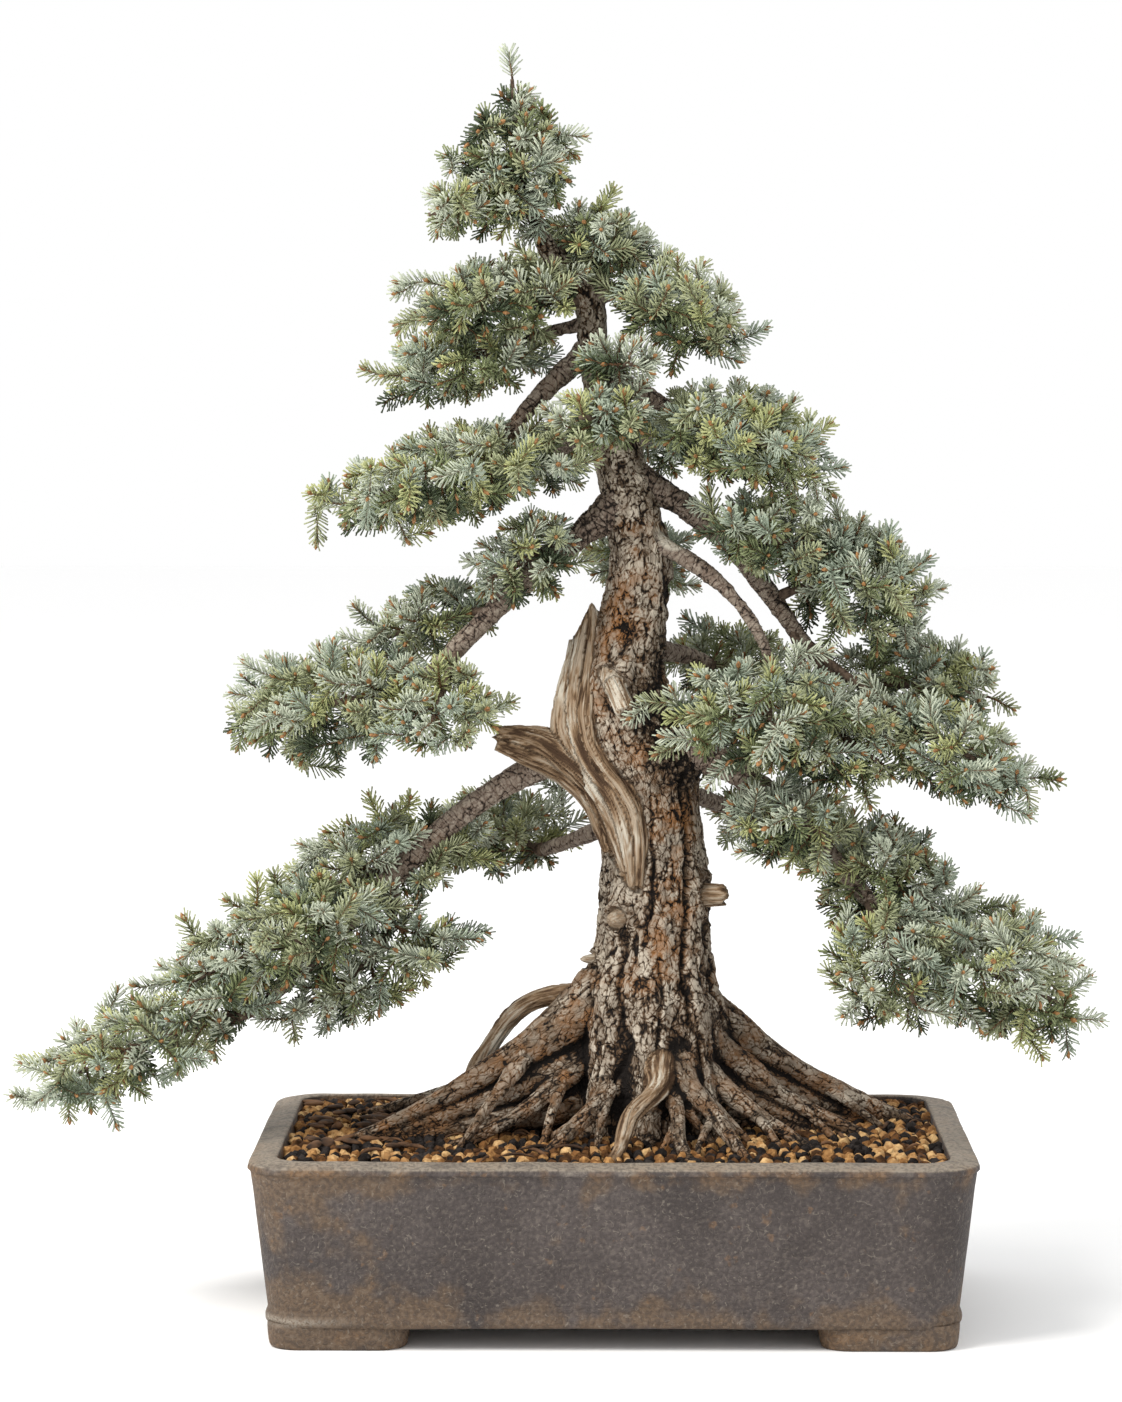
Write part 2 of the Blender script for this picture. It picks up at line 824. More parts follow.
def fill(tree: bpy.types.NodeTree, node: bpy.types.Node, inputs: dict) -> None:
    """Sets or links a node's sockets.

    Args:
        tree: The node's tree.
        node: The node.
        inputs: A value, a socket or a wire for each socket, by name or number.
    """
    for name, value in inputs.items():
        socket = node.inputs[name]
        if isinstance(value, Wire):
            value = value.socket
        if isinstance(value, bpy.types.NodeSocket):
            tree.links.new(value, socket)
        elif isinstance(value, tuple) and socket.type == "RGBA":
            socket.default_value = (*value, 1.0)
        else:
            socket.default_value = value


def add_node(tree: bpy.types.NodeTree, kind: str, settings: dict, inputs: dict) -> bpy.types.Node:
    """A node with its settings, values and links.

    Args:
        tree: The tree that it joins.
        kind: The node's type.
        settings: Its own properties, set first.
        inputs: A value, a socket or a wire for each socket, by name or number.

    Returns:
        The node.
    """
    node = tree.nodes.new(kind)
    for name, value in settings.items():
        setattr(node, name, value)
    fill(tree, node, inputs)
    return node


class Shader:
    """A Principled material and the few ways in which this plant's finishes build on it."""

    def __init__(self, name: str) -> None:
        """Makes a material of that name."""
        self.material = bpy.data.materials.new(name)
        self.material.use_nodes = True
        self.tree = self.material.node_tree
        self.surface = self.tree.nodes["Principled BSDF"]
        self.place = self.read("ShaderNodeTexCoord", "Object", {}, {})

    def read(self, kind: str, output: str | int, settings: dict, inputs: dict) -> Wire:
        """An output of a new node with its settings, values and links."""
        return Wire(self, add_node(self.tree, kind, settings, inputs).outputs[output])

    def attribute(self, name: str, output: str = "Fac") -> Wire:
        """A number, or with the output Vector three, stored at the piece's points."""
        return self.read("ShaderNodeAttribute", output, {"attribute_name": name}, {})

    def noise(self, size: float, detail: float = 3.0, flow: Wire | None = None) -> Wire:
        """Noise over the object, from 0 to 1.

        Args:
            size: The width of its features in millimetres.
            detail: How many finer sizes it holds.
            flow: Coordinates in millimetres to read instead of the object's.

        Returns:
            The noise.
        """
        scale = 1 / (size * MM) if flow is None else 1 / size
        inputs = {"Vector": flow or self.place, "Scale": scale, "Detail": detail}
        return self.read("ShaderNodeTexNoise", 0, {}, inputs)

    def scales(self, size: float, flow: Wire) -> Wire:
        """How far inside its cell of a pattern each point is, from 0 on the edges to about 0.5."""
        settings = {"feature": "DISTANCE_TO_EDGE"}
        return self.read("ShaderNodeTexVoronoi", "Distance", settings, {"Vector": flow, "Scale": 1 / size})

    def scale_shade(self, size: float, flow: Wire) -> Wire:
        """A number from 0 to 1 for each cell of a pattern."""
        return self.read("ShaderNodeTexVoronoi", "Color", {}, {"Vector": flow, "Scale": 1 / size})

    def mix(self, share: Wire | float, first: Wire | Colour, second: Wire | Colour) -> Wire:
        """A blend of two colours, of which the second shows by the share."""
        return self.read("ShaderNodeMix", 2, {"data_type": "RGBA"}, {"Factor": share, 6: first, 7: second})

    def finish(self, colour: Wire | Colour, roughness: Wire | float, specular: float) -> None:
        """Sets the surface's base colour, its roughness and how strong its gloss is."""
        main = {"Base Color": colour, "Roughness": roughness, "Specular IOR Level": specular}
        fill(self.tree, self.surface, main)

    def bump(self, height: Wire, depth: float, strength: float) -> None:
        """Lets a height from 0 to 1, which is so many millimetres deep, shape the light by a strength."""
        inputs = {"Height": height, "Distance": depth * MM, "Strength": strength}
        fill(self.tree, self.surface, {"Normal": self.read("ShaderNodeBump", 0, {}, inputs)})


# Finishes

@dataclass(frozen=True)
class BarkFinish:
    """Scaly bark with bare wood, read from what is stored at the mesh's points."""

    name: str
    crack: Colour = display(20, 14, 10)
    body: Colour = display(88, 71, 54)
    plate: Colour = display(194, 183, 166)
    ochre: Colour = display(144, 97, 53)
    groove: Colour = display(72, 53, 37)
    wood: Colour = display(138, 112, 84)
    silver: Colour = display(196, 188, 172)

    def make(self) -> bpy.types.Material:
        """Makes the material.

        Returns:
            The material.
        """
        shader = Shader(self.name)
        flow = shader.attribute("flow", "Vector")
        tint = shader.attribute("tint")
        fine = shader.noise(1.5, 4.0, flow)
        broad = shader.noise(15.0, 3.0)
        lines = shader.scales(5.0, flow).over(0.0, 0.1)
        thin_lines = shader.scales(2.5, flow).over(0.0, 0.12)
        dealt = shader.scale_shade(5.2, flow)
        height = shader.attribute("relief") + (fine - 0.5) * 0.7 + lines * 0.36 + thin_lines * 0.18 - 0.54
        bark = shader.mix(height.over(0.1, 0.5), self.crack, self.body)
        stained = shader.attribute("ochre") * height.over(0.12, 0.45) * broad.over(0.38, 0.62) * 0.9
        bark = shader.mix(stained, bark, self.ochre)
        worn = height.over(0.4, 0.88) * (tint * 0.7 + dealt * 0.5) * (1 - stained * 0.7)
        bark = shader.mix(worn, bark, self.plate)
        streak = shader.noise(1.2, 3.0, flow)
        grain = shader.attribute("grain") + (streak - 0.5) * 0.9
        bare = shader.mix(grain.over(0.16, 0.6), self.groove, self.wood)
        bare = shader.mix(grain.over(0.4, 0.9) * shader.attribute("silver"), bare, self.silver)
        colour = shader.mix(shader.attribute("bare"), bark, bare)
        shader.finish(colour, 0.85, 0.25)
        shader.bump(fine + lines * 0.8 + thin_lines * 0.4, 1.0, 0.8)
        return shader.material


@dataclass(frozen=True)
class StonewareFinish:
    """Unglazed stoneware with an earthy patina, paler on its rim."""

    body: Colour = display(84, 76, 73)
    dark: Colour = display(56, 49, 47)
    patina: Colour = display(98, 79, 60)
    rim: Colour = display(146, 135, 121)
    ochre: Colour = display(132, 98, 62)
    chalk: Colour = display(150, 141, 128)
    pit: Colour = display(48, 42, 40)

    def make(self) -> bpy.types.Material:
        """Makes the material.

        Returns:
            The material.
        """
        shader = Shader("stoneware")
        cloud = shader.noise(75.0, 5.0)
        patch = shader.noise(22.0, 8.0)
        peel = shader.noise(2.6, 2.0)
        grit = shader.noise(1.3, 3.0)
        curl = shader.noise(6.0, 1.0) - 0.5
        aged = (shader.attribute("aged") * 0.85 + patch * 1.8 + cloud * 0.6 - 1.5).over(-0.05, 0.36)
        marks = (curl * curl).over(0.0005, 0.0) * shader.noise(3.0, 1.0).over(0.5, 0.62)
        layers = (
            (aged * 0.8, self.patina),
            (shader.attribute("rim") * patch.over(0.1, 0.5), self.rim),
            (shader.attribute("edge") * patch.over(0.45, 0.6) * 0.45, self.ochre),
            (shader.noise(9.0, 6.0).over(0.64, 0.72) * 0.35, self.ochre),
            (peel.over(0.44, 0.62) * 0.42, self.pit),
            (peel.over(0.47, 0.3) * 0.14, self.rim),
            (grit.over(0.55, 0.75) * 0.18, self.rim),
            (marks * 0.3, self.chalk),
            (shader.noise(2.2, 1.0).over(0.77, 0.8) * 0.5, self.chalk),
            (shader.attribute("worn") * grit.over(0.3, 0.55), self.chalk),
        )
        colour = shader.mix(cloud.over(0.3, 0.7), self.dark, self.body)
        for share, tint in layers:
            colour = shader.mix(share, colour, tint)
        shader.finish(colour, cloud * 0.25 + 0.55, 0.35)
        shader.bump(peel + grit * 0.5, 1.6, 0.9)
        return shader.material


@dataclass(frozen=True)
class GrainFinish:
    """Baked clay and pumice grains of one shade."""

    name: str
    light: Colour
    dark: Colour

    def make(self) -> bpy.types.Material:
        """Makes the material.

        Returns:
            The material.
        """
        shader = Shader(self.name)
        shade = shader.noise(7.0, 2.0)
        pores = shader.noise(1.6, 3.0)
        colour = shader.mix(shade.over(0.35, 0.65), self.dark, self.light)
        colour = shader.mix(pores.over(0.45, 0.7) * 0.7, colour, self.dark)
        shader.finish(colour, 0.95, 0.15)
        shader.bump(pores, 1.0, 0.9)
        return shader.material


@dataclass(frozen=True)
class PlainFinish:
    """A matt finish that varies a little from place to place."""

    name: str
    light: Colour
    dark: Colour
    size: float
    roughness: float = 0.6
    specular: float = 0.3

    def make(self) -> bpy.types.Material:
        """Makes the material.

        Returns:
            The material.
        """
        shader = Shader(self.name)
        shade = shader.noise(self.size, 2.0)
        colour = shader.mix(shade.over(0.3, 0.7), self.dark, self.light)
        shader.finish(colour, self.roughness, self.specular)
        return shader.material


# Limbs

@dataclass
class Limb:
    """A tapering limb: the points of its middle line, its radii and what covers it."""

    path: Array
    radii: Array
    surface: Surface
    ragged: float = 0.0

    def spheres(self, spacing: float = 3.0) -> Array:
        """Points close together along the limb, each with the radius there.

        Args:
            spacing: How far apart they are at most.

        Returns:
            Rows of X, Y, Z and radius.
        """
        rows = []
        for i in range(len(self.path) - 1):
            steps = max(int(np.linalg.norm(self.path[i + 1] - self.path[i]) / spacing), 1)
            share = (np.arange(steps) / steps)[:, None]
            middle = self.path[i] + (self.path[i + 1] - self.path[i]) * share
            wide = self.radii[i] + (self.radii[i + 1] - self.radii[i]) * share
            rows.append(np.hstack([middle, wide]))
        rows.append(np.append(self.path[-1], self.radii[-1])[None])
        return np.concatenate(rows)


@dataclass
class Place:
    """Where points lie on a set of limbs: which, how far along, the way out from it and its radius."""

    limb: Array
    along: Array
    across: Array
    radius: Array

    def spot(self, apart: float) -> Array:
        """Millimetres across and along the limbs, each limb so far apart from the last."""
        return columns(*self.across.T, self.along) + self.limb[:, None] * apart


def locate(points: Array, limbs: Sequence[Limb]) -> Place:
    """Finds the limb whose surface is nearest to each point, and where on it the point lies.

    Args:
        points: The points.
        limbs: The limbs.

    Returns:
        Their places.
    """
    count = len(points)
    best = np.full(count, 1e9)
    place = Place(np.zeros(count, int), np.zeros(count), np.zeros((count, 2)), np.ones(count))
    for number, limb in enumerate(limbs):
        start = limb.path[:-1]
        way = limb.path[1:] - start
        length = norms(way)
        travelled = np.append(0.0, np.cumsum(length))
        _, side, up = frames_along(limb.path)
        low, high = limb.path.min(axis=0) - SEARCH_MARGIN, limb.path.max(axis=0) + SEARCH_MARGIN
        near = np.where(np.all((points > low) & (points < high), axis=1))[0]
        for part in np.array_split(near, max(len(near) // SEARCH_BATCH, 1)):
            if len(part) == 0:
                continue
            offset = points[part][:, None] - start[None]
            share = np.clip((offset * way).sum(axis=2) / (length**2), 0.0, 1.0)
            away = offset - share[..., None] * way
            distance = norms(away)
            wide = limb.radii[:-1] + (limb.radii[1:] - limb.radii[:-1]) * share
            segment = np.argmin(distance, axis=1)
            row = np.arange(len(part))
            outside = (distance - wide)[row, segment]
            closer = outside < best[part]
            chosen = part[closer]
            row, segment = row[closer], segment[closer]
            t = share[row, segment]
            best[chosen] = outside[closer]
            place.limb[chosen] = number
            place.along[chosen] = travelled[segment] + t * length[segment]
            out = away[row, segment]
            ends = ((crosswise[segment], crosswise[segment + 1]) for crosswise in (side, up))
            sideways, upwards = (unit(blend(first, second, t[:, None])) for first, second in ends)
            place.across[chosen] = columns((out * sideways).sum(axis=1), (out * upwards).sum(axis=1))
            place.radius[chosen] = wide[row, segment]
    return place


def trunk_at(height: float) -> tuple[Array, float]:
    """The trunk's centre and radius at a height, smooth between its stations.

    Args:
        height: The height above the ground.

    Returns:
        The centre and the radius.
    """
    table = np.array(TRUNK_STATIONS, float)
    last = len(table) - 1
    index = min(int(np.searchsorted(table[1:, 0], height)), last - 1)
    before, low, high, after = table[[max(index - 1, 0), index, index + 1, min(index + 2, last)]]
    span = high[0] - low[0]
    t = min(max((height - low[0]) / span, 0.0), 1.0)
    slope_low = (high - before) / max(high[0] - before[0], 1) * span
    slope_high = (after - low) / max(after[0] - low[0], 1) * span
    smooth = (2 * t**3 - 3 * t**2 + 1) * low + (t**3 - 2 * t**2 + t) * slope_low
    smooth += (3 * t**2 - 2 * t**3) * high + (t**3 - t**2) * slope_high
    return np.array((smooth[1], smooth[2], low[0] + span * t)), float(smooth[3])


def trunk_limb(rings: int) -> Limb:
    """The trunk from its foot to its tip.

    Args:
        rings: How many steps it has.

    Returns:
        The limb.
    """
    foot, top = TRUNK_STATIONS[0][0], TRUNK_STATIONS[-1][0]
    stations = [trunk_at(foot + (top - foot) * i / rings) for i in range(rings + 1)]
    path = np.array([centre for centre, _ in stations])
    return Limb(path, np.array([radius for _, radius in stations]), Surface.BARK)


def bough_limb(bough: Bough, steps: int = 24) -> Limb:
    """A bough from the trunk's axis to its tip.

    Args:
        bough: The bough's sizes.
        steps: How many steps it has.

    Returns:
        The limb.
    """
    start, _ = trunk_at(bough.height)
    tip = np.array(bough.tip, float)
    flat = unit((tip - start) * (1, 1, 0))
    reach = np.linalg.norm(tip - start) * 0.36
    leave, arrive = math.radians(bough.leave), math.radians(bough.arrive)
    sway = np.array((0.0, bough.sway, 0.0))
    second = start + (flat * math.cos(leave) + UP * math.sin(leave)) * reach + sway
    third = tip - (flat * math.cos(arrive) + UP * math.sin(arrive)) * reach + sway * 0.5
    shares = np.linspace(0, 1, steps + 1)
    path = bezier((start, second, third, tip), shares)
    return Limb(path, bough.thick + (bough.thin - bough.thick) * shares, Surface.BARK)


class Relief:
    """The relief of bark and bare wood, from where a point lies along and across its limb."""

    def __init__(self, seed: int) -> None:
        """Seeds the pattern."""
        self.noise = Noise(seed)

    def bark(self, spot: Array, wide: float, long: float, strength: float = 1.0) -> tuple[Array, ...]:
        """Scales that lie over each other, with flakes on them and furrows between them.

        Args:
            spot: Millimetres across and along the limb.
            wide: A scale's width.
            long: A scale's length along the limb.
            strength: How much of the height shows.

        Returns:
            The height in millimetres, how far out of a crack, and each scale's tint.
        """
        noise = self.noise
        drift = noise.way(spot / (wide * 1.5), 20) * wide * 0.6
        ripple = noise.way(spot / (wide * 0.55), 24) * wide * 0.24
        at = (spot + drift + ripple) / (wide, wide, long)
        inside, number, offset = noise.cells(at, 40)
        scale = ramp(0.0, 0.12, inside)
        layers = (noise.fractal(at * 0.8 + 9.0, 3, 50) * 0.5 + 0.5) * 4.5
        rest = layers - np.floor(layers)
        terrace = (np.floor(layers) + ramp(0.0, 0.25, rest)) / 4.5
        valley = np.abs(noise.fractal(spot / (wide * 1.7, wide * 1.7, long * 3.4), 3, 60))
        furrow = ramp(0.0, 0.09, valley)
        lift = np.clip(0.3 - offset[:, 2] * 0.8, 0.0, 1.0)
        height = scale * (0.2 + 0.9 * number + 0.6 * lift) + terrace * 2.6 - (1 - furrow) * 1.7 - 2.0
        height += noise.fractal(spot / 2.4, 2, 70) * 0.25
        out = (0.25 + 0.75 * furrow) * (0.4 + 0.6 * scale) * (0.6 + 0.4 * ramp(0.0, 0.25, rest))
        return height * strength, out, np.clip(number * 0.6 + (terrace - 0.5) * 0.9 + 0.2, 0, 1)

    def callus(self, spot: Array, size: float) -> tuple[Array, Array]:
        """Rough grains of bark, as where a bough leaves the trunk.

        Args:
            spot: Millimetres across and along the limb.
            size: A grain's width.

        Returns:
            The height in millimetres and how far out of a crack.
        """
        warp = self.noise.way(spot / size, 90) * size * 0.4
        inside, number, _ = self.noise.cells((spot + warp) / size, 95)
        dome = ramp(0.0, 0.4, inside)
        return dome * (0.8 + 2.6 * number) - 1.6, dome * (0.4 + 0.5 * number)

    def grain(self, spot: Array) -> Array:
        """Long sharp grooves in bare wood.

        Args:
            spot: Millimetres across and along the grain.

        Returns:
            The height, from 0 in a groove to 1.
        """
        broad = self.noise.fractal(spot / (6.5, 6.5, 75.0), 2, 80)
        narrow = np.abs(self.noise.fractal(spot / (2.6, 2.6, 40.0), 2, 84))
        return np.clip(0.5 + broad * 0.9, 0, 1) * 0.55 + ramp(0.0, 0.35, narrow) * 0.45


@dataclass(frozen=True)
class Scar:
    """A groove down the trunk's front: its points in X and height, its width and its depth."""

    line: tuple[tuple[float, float], ...]
    width: float
    depth: float

    def nearness(self, points: Array) -> Array:
        """How near points on the front are to the line.

        Args:
            points: The points.

        Returns:
            From 1 on the line to 0 past its width.
        """
        flat = points[:, (0, 2)]
        nearest = np.full(len(points), 1e9)
        line = np.array(self.line, float)
        for start, end in zip(line[:-1], line[1:]):
            way = end - start
            share = np.clip(((flat - start) @ way) / way.dot(way), 0, 1)
            nearest = np.minimum(nearest, norms(flat - start - share[:, None] * way))
        return np.exp(-((nearest / self.width) ** 2)) * ramp(8.0, -4.0, points[:, 1])


@dataclass(frozen=True)
class Patch:
    """A round patch of the trunk: its middle and its reach."""

    centre: Point
    reach: float

    def nearness(self, points: Array) -> Array:
        """From 1 at the patch's middle to 0 past its reach."""
        return np.exp(-((norms(points - self.centre) / self.reach) ** 2))


@dataclass
class Trunk:
    """The trunk with its surface roots, dead stubs and torn deadwood, as one skin with bark relief."""

    plant: Plant
    sides: int = 72
    rings: int = 170
    voxel: float = 1.32
    smoothing: int = 3
    floor: float = 107.0
    # The level cuts between the trunk's parts
    partings: tuple[float, ...] = (0.0, 142.0, 250.0, 900.0)
    part_names: tuple[str, ...] = ("roots", "trunk_foot", "trunk_upper")
    hollow_rounds: int = 80
    # The bare wood's right and left edges as heights and X, from the splinter down to the tongue
    wood_heights: tuple[float, ...] = (274, 283, 299, 318, 333, 345, 354, 366, 378, 391, 408, 426, 453)
    wood_right: tuple[float, ...] = (17, 18, 19, 19, 17, 9, 0, -9, -17, -19, -18, -15, -9)
    wood_left: tuple[float, ...] = (12, 4, -5, -11, -15, -60, -90, -90, -90, -90, -90, -90, -90)
    scars: tuple[Scar, ...] = (
        Scar(((44, 345), (48, 296), (45, 250), (44, 209), (58, 165)), 2.0, 5.0),
        Scar(((24, 335), (25, 300), (24, 272), (19, 240)), 1.4, 3.0),
        Scar(((8, 250), (4, 210), (10, 175), (0, 150)), 2.0, 3.0),
        Scar(((30, 520), (34, 470), (36, 440), (30, 405)), 1.5, 2.5),
        Scar(((62, 300), (60, 262), (58, 225), (70, 190)), 1.4, 3.0),
        Scar(((28, 230), (30, 190), (24, 150)), 1.4, 2.5),
    )
    ochre_line: tuple[tuple[float, float], ...] = (
        (8, 470), (2, 430), (-6, 395), (18, 365), (36, 330), (38, 290), (34, 240),
    )
    rough: tuple[Patch, ...] = (
        Patch((48, -18, 362), 25.0), Patch((30, -26, 392), 16.0), Patch((38, -12, 425), 13.0),
    )
    torn: Patch = Patch((37, -22, 504), 12.0)
    knot: Patch = Patch((9, -26, 440), 6.0)
    peg: Patch = Patch((3, -38, 398), 18.0)
    limbs: list[Limb] = field(default_factory=list)
    strands: list[Limb] = field(default_factory=list)

    def root_limbs(self, root: Root) -> list[Limb]:
        """A root, over its arch and down into the soil, and the finer ones that fork from it.

        Args:
            root: The root's sizes.

        Returns:
            The limbs.
        """
        base, _ = trunk_at(SOIL_TOP)
        heading = math.radians(root.heading)
        out = np.array((math.cos(heading), math.sin(heading), 0.0))
        turn = np.array((-out[1], out[0], 0.0))
        bend = turn * (ROOT_WANDER * root.reach * math.sin(3 * heading))
        aside = turn * root.swerve
        course = COURSES[root.surface]
        second = (course.near_reach + root.bulge) * root.reach
        third = (course.far_reach + 0.8 * root.bulge) * root.reach
        far_height = root.start * course.far_start + root.arch * course.arch
        controls = (
            base + out * ROOT_START + aside + UP * (root.start * course.start),
            base + out * second + bend + aside + UP * (root.start * course.near_start + root.arch * 0.7),
            base + out * third - bend + aside * 0.4 + UP * far_height,
            base + out * (root.reach * 1.05) - UP * ROOT_SINK,
        )
        shares = np.linspace(0, 1, 25)
        noise = Noise(int(root.heading))
        wander = [noise.along(shares * 4.5, k) for k in range(2)]
        loose = np.sin(shares * math.pi)[:, None] * 4.5
        path = bezier(controls, shares) + (np.outer(wander[0], turn) + np.outer(wander[1], UP) * 0.5) * loose
        knobs = 1 + 0.14 * noise.along(shares * 8, 5)
        radii = (root.thin + (root.thick - root.thin) * (1 - shares) ** ROOT_FLARE) * knobs
        limbs = [Limb(path, radii, root.surface)]
        if root.surface is Surface.WOOD:
            return limbs
        if root.start >= KEEL_START:
            lift = path[:, 2] - SOIL_TOP
            for share in (0.34, 0.68):
                keel = columns(path[:, 0], path[:, 1], SOIL_TOP + lift * share - ROOT_SINK)
                limbs.append(Limb(keel, np.clip(lift * 0.2, radii * 0.7, 13.0), root.surface))
        for number, (joint, swing, long) in enumerate(((11, 0.5, 0.4), (16, -0.6, 0.32))):
            ahead = unit(path[joint + 1] - path[joint])
            sway = math.sin(root.heading * 3.7 + number) * 0.2 + swing
            way = unit((ahead * math.cos(sway) + turn * math.sin(sway)) * (1, 1, 0))
            start = path[joint]
            end = start + way * root.reach * long
            end[2] = SOIL_TOP - ROOT_SINK
            middle = start * 0.5 + end * 0.5 + UP * 2.0 + turn * math.sin(root.heading + number) * 5
            fork = bezier((start, start * 0.5 + middle * 0.5, middle, end), np.linspace(0, 1, 13))
            limbs.append(Limb(fork, np.linspace(radii[joint] * 0.6, 2.0, 13), Surface.ROOT))
        return limbs

    def splinter(self, stations: Sequence[Sequence[float]]) -> Shape:
        """A flat tapering blade of torn wood, which is also kept as a limb for its grain.

        Args:
            stations: Height, X, Y, half width and half depth from its foot to its tip.

        Returns:
            The blade.
        """
        table = np.array(stations, float).T
        heights = np.linspace(table[0, 0], table[0, -1], 26)
        x, y, wide, deep = (np.interp(heights, table[0], row) for row in table[1:])
        path = columns(x, y, heights)
        self.limbs.append(Limb(path, deep, Surface.WOOD))
        angles = np.arange(24) * math.tau / 24
        across = np.outer(wide, np.cos(angles))
        ring = np.stack([across, np.outer(deep, np.sin(angles)), across * 0], axis=2)
        return rings_to_shape(path[:, None] + ring)

    def tubes(self) -> Shape:
        """All the tubes that the skin is drawn over; their limbs are kept for the relief.

        Returns:
            The tubes.
        """
        def lobes(centre: Array, angles: Array) -> Array:
            """Lobes round the trunk's foot that fade upwards into low ribs."""
            fade = math.exp(-(centre[2] - TRUNK_STATIONS[0][0]) / FLARE_HEIGHT)
            return 1 + (FLARE_DEPTH * fade + RIB_DEPTH) * np.cos(FLARE_LOBES * angles)

        trunk = trunk_limb(self.rings)
        shapes = [tube(trunk.path, trunk.radii, self.sides, lobes)]
        self.limbs = [trunk_limb(60)]
        for root in ROOTS:
            for limb in self.root_limbs(root):
                self.limbs.append(limb)
                shapes.append(tube(limb.path, limb.radii, 18))
        self.strands = []
        for rows in STRANDS:
            table = np.array(rows, float)
            even = np.linspace(0, len(rows) - 1, 6 * len(rows))
            fine = columns(*[np.interp(even, np.arange(len(rows)), column) for column in table.T])
            for _ in range(3):
                fine[1:-1] = (fine[:-2] + fine[1:-1] * 2 + fine[2:]) / 4
            self.strands.append(Limb(fine[:, :3], fine[:, 3], Surface.WOOD))
            shapes.append(tube(fine[:, :3], fine[:, 3], 14))
        self.limbs += self.strands
        for stub in (COLLAR, *STUBS):
            shares = np.linspace(0, 1, 15)
            path = stub.foot() + (np.array(stub.tip, float) - stub.foot()) * shares[:, None]
            radii = np.interp(shares, (0, 0.55, 1.0), (stub.thick, stub.thick * 0.85, stub.thin))
            if stub.ragged < 0:
                radii = radii * np.sqrt(1.001 - np.clip((shares - 0.78) / 0.22, 0, 1) ** 2)
            shapes.append(tube(path, radii, 22))
            if stub is not COLLAR:
                self.limbs.append(Limb(path, radii, Surface.WOOD, stub.ragged))
        for stations in SPLINTERS:
            shapes.append(self.splinter(stations))
        shape = Shape.joined(shapes)
        shape.points[:, 2] = np.maximum(shape.points[:, 2], self.floor)
        return shape

    def bare_share(self, points: Array, place: Place) -> Array:
        """How bare the wood is at each point.

        Args:
            points: The points.
            place: Where they lie on the limbs.

        Returns:
            From 0 on bark to 1 on bare wood.
        """
        x, y, z = points.T
        ragged = Noise(5).fractal(points / 8.0, 2) * 2.2
        inside = np.minimum(
            np.interp(z, self.wood_heights, self.wood_right) - x,
            x - np.interp(z, self.wood_heights, self.wood_left),
        )
        tongue = ramp(-0.8, 0.8, inside + ragged) * ramp(273, 279, z + ragged * 2)
        tongue *= ramp(18.0, 10.0, y + ragged * 2) * (z < 457)
        torn = ramp(0.3, 0.42, self.torn.nearness(points) + ragged * 0.03)
        wooden = np.array([limb.surface is Surface.WOOD for limb in self.limbs])
        return np.where(wooden[place.limb], 1.0, np.maximum(tongue, torn))

    def rings_round_stubs(self, points: Array) -> Array:
        """How near points are to the ring of bark that has grown round each short stub.

        Args:
            points: The points.

        Returns:
            From 1 on a ring to 0 off it.
        """
        near = np.zeros(len(points))
        for stub in STUBS[1:]:
            _, radius = trunk_at(stub.height)
            way = np.array(stub.tip, float) - stub.foot()
            foot = stub.foot() + way * (radius / np.linalg.norm(way * (1, 1, 0)))
            apart = norms(points - foot)
            near = np.maximum(near, np.exp(-(((apart - stub.thick * 1.5) / (stub.thick * 0.38)) ** 2)))
        return near

    def scales(self, points: Array, place: Place, spot: Array) -> tuple[Array, ...]:
        """The bark's scales: large low down, smaller higher up and long on the roots' far ends.

        Args:
            points: The points.
            place: Where they lie on the limbs.
            spot: Millimetres across and along the limbs, apart for each.

        Returns:
            The height, how far out of a crack, the tint, and how rough the bark under the boughs is.
        """
        relief = Relief(11)
        on_trunk = place.limb == 0
        far = ramp(0.25, 0.6, place.along / 150.0) * ~on_trunk
        upper = ramp(318, 372, points[:, 2]) * on_trunk
        large = relief.bark(spot, 6.4, 10.0)
        small = relief.bark(spot + 50, 4.8, 6.0, 0.8)
        slim = relief.bark(spot + 90, 4.2, 20.0, 0.5)
        height, out, tint = (blend(blend(a, b, upper), c, far) for a, b, c in zip(large, small, slim))
        rough = np.clip(sum(patch.nearness(points) for patch in self.rough) * 1.6, 0, 1) * on_trunk
        grains, grains_out = relief.callus(points, 5.0)
        height, out = blend(height, grains, rough), blend(out, grains_out, rough)
        ring = self.rings_round_stubs(points) * on_trunk
        curl = 0.5 + 0.5 * np.sin(norms(points - STUBS[1].tip) * 2.1)
        height = height * (1 - ring * 0.7) + ring * (2.2 + curl * 1.6)
        out = np.clip(out * (1 - ring * 0.6) + ring * (0.2 + 0.4 * curl), 0, 1)
        hole = self.knot.nearness(points)
        height = (height - hole * 4.5) * np.clip(place.radius / 20.0, 0.4, 1.0)
        out = out * (1 - 0.8 * hole)
        noise = Noise(23)
        height += noise.fractal(points / 34.0, 3) * 2.8 * np.clip(place.radius / 30.0, 0.2, 1.0)
        for scar in self.scars:
            near = scar.nearness(points + noise.value(points / 9.0, 3)[:, None] * 2.5) * on_trunk
            height -= near * scar.depth
            out = out * (1 - 0.75 * near)
        return height, out, tint, rough

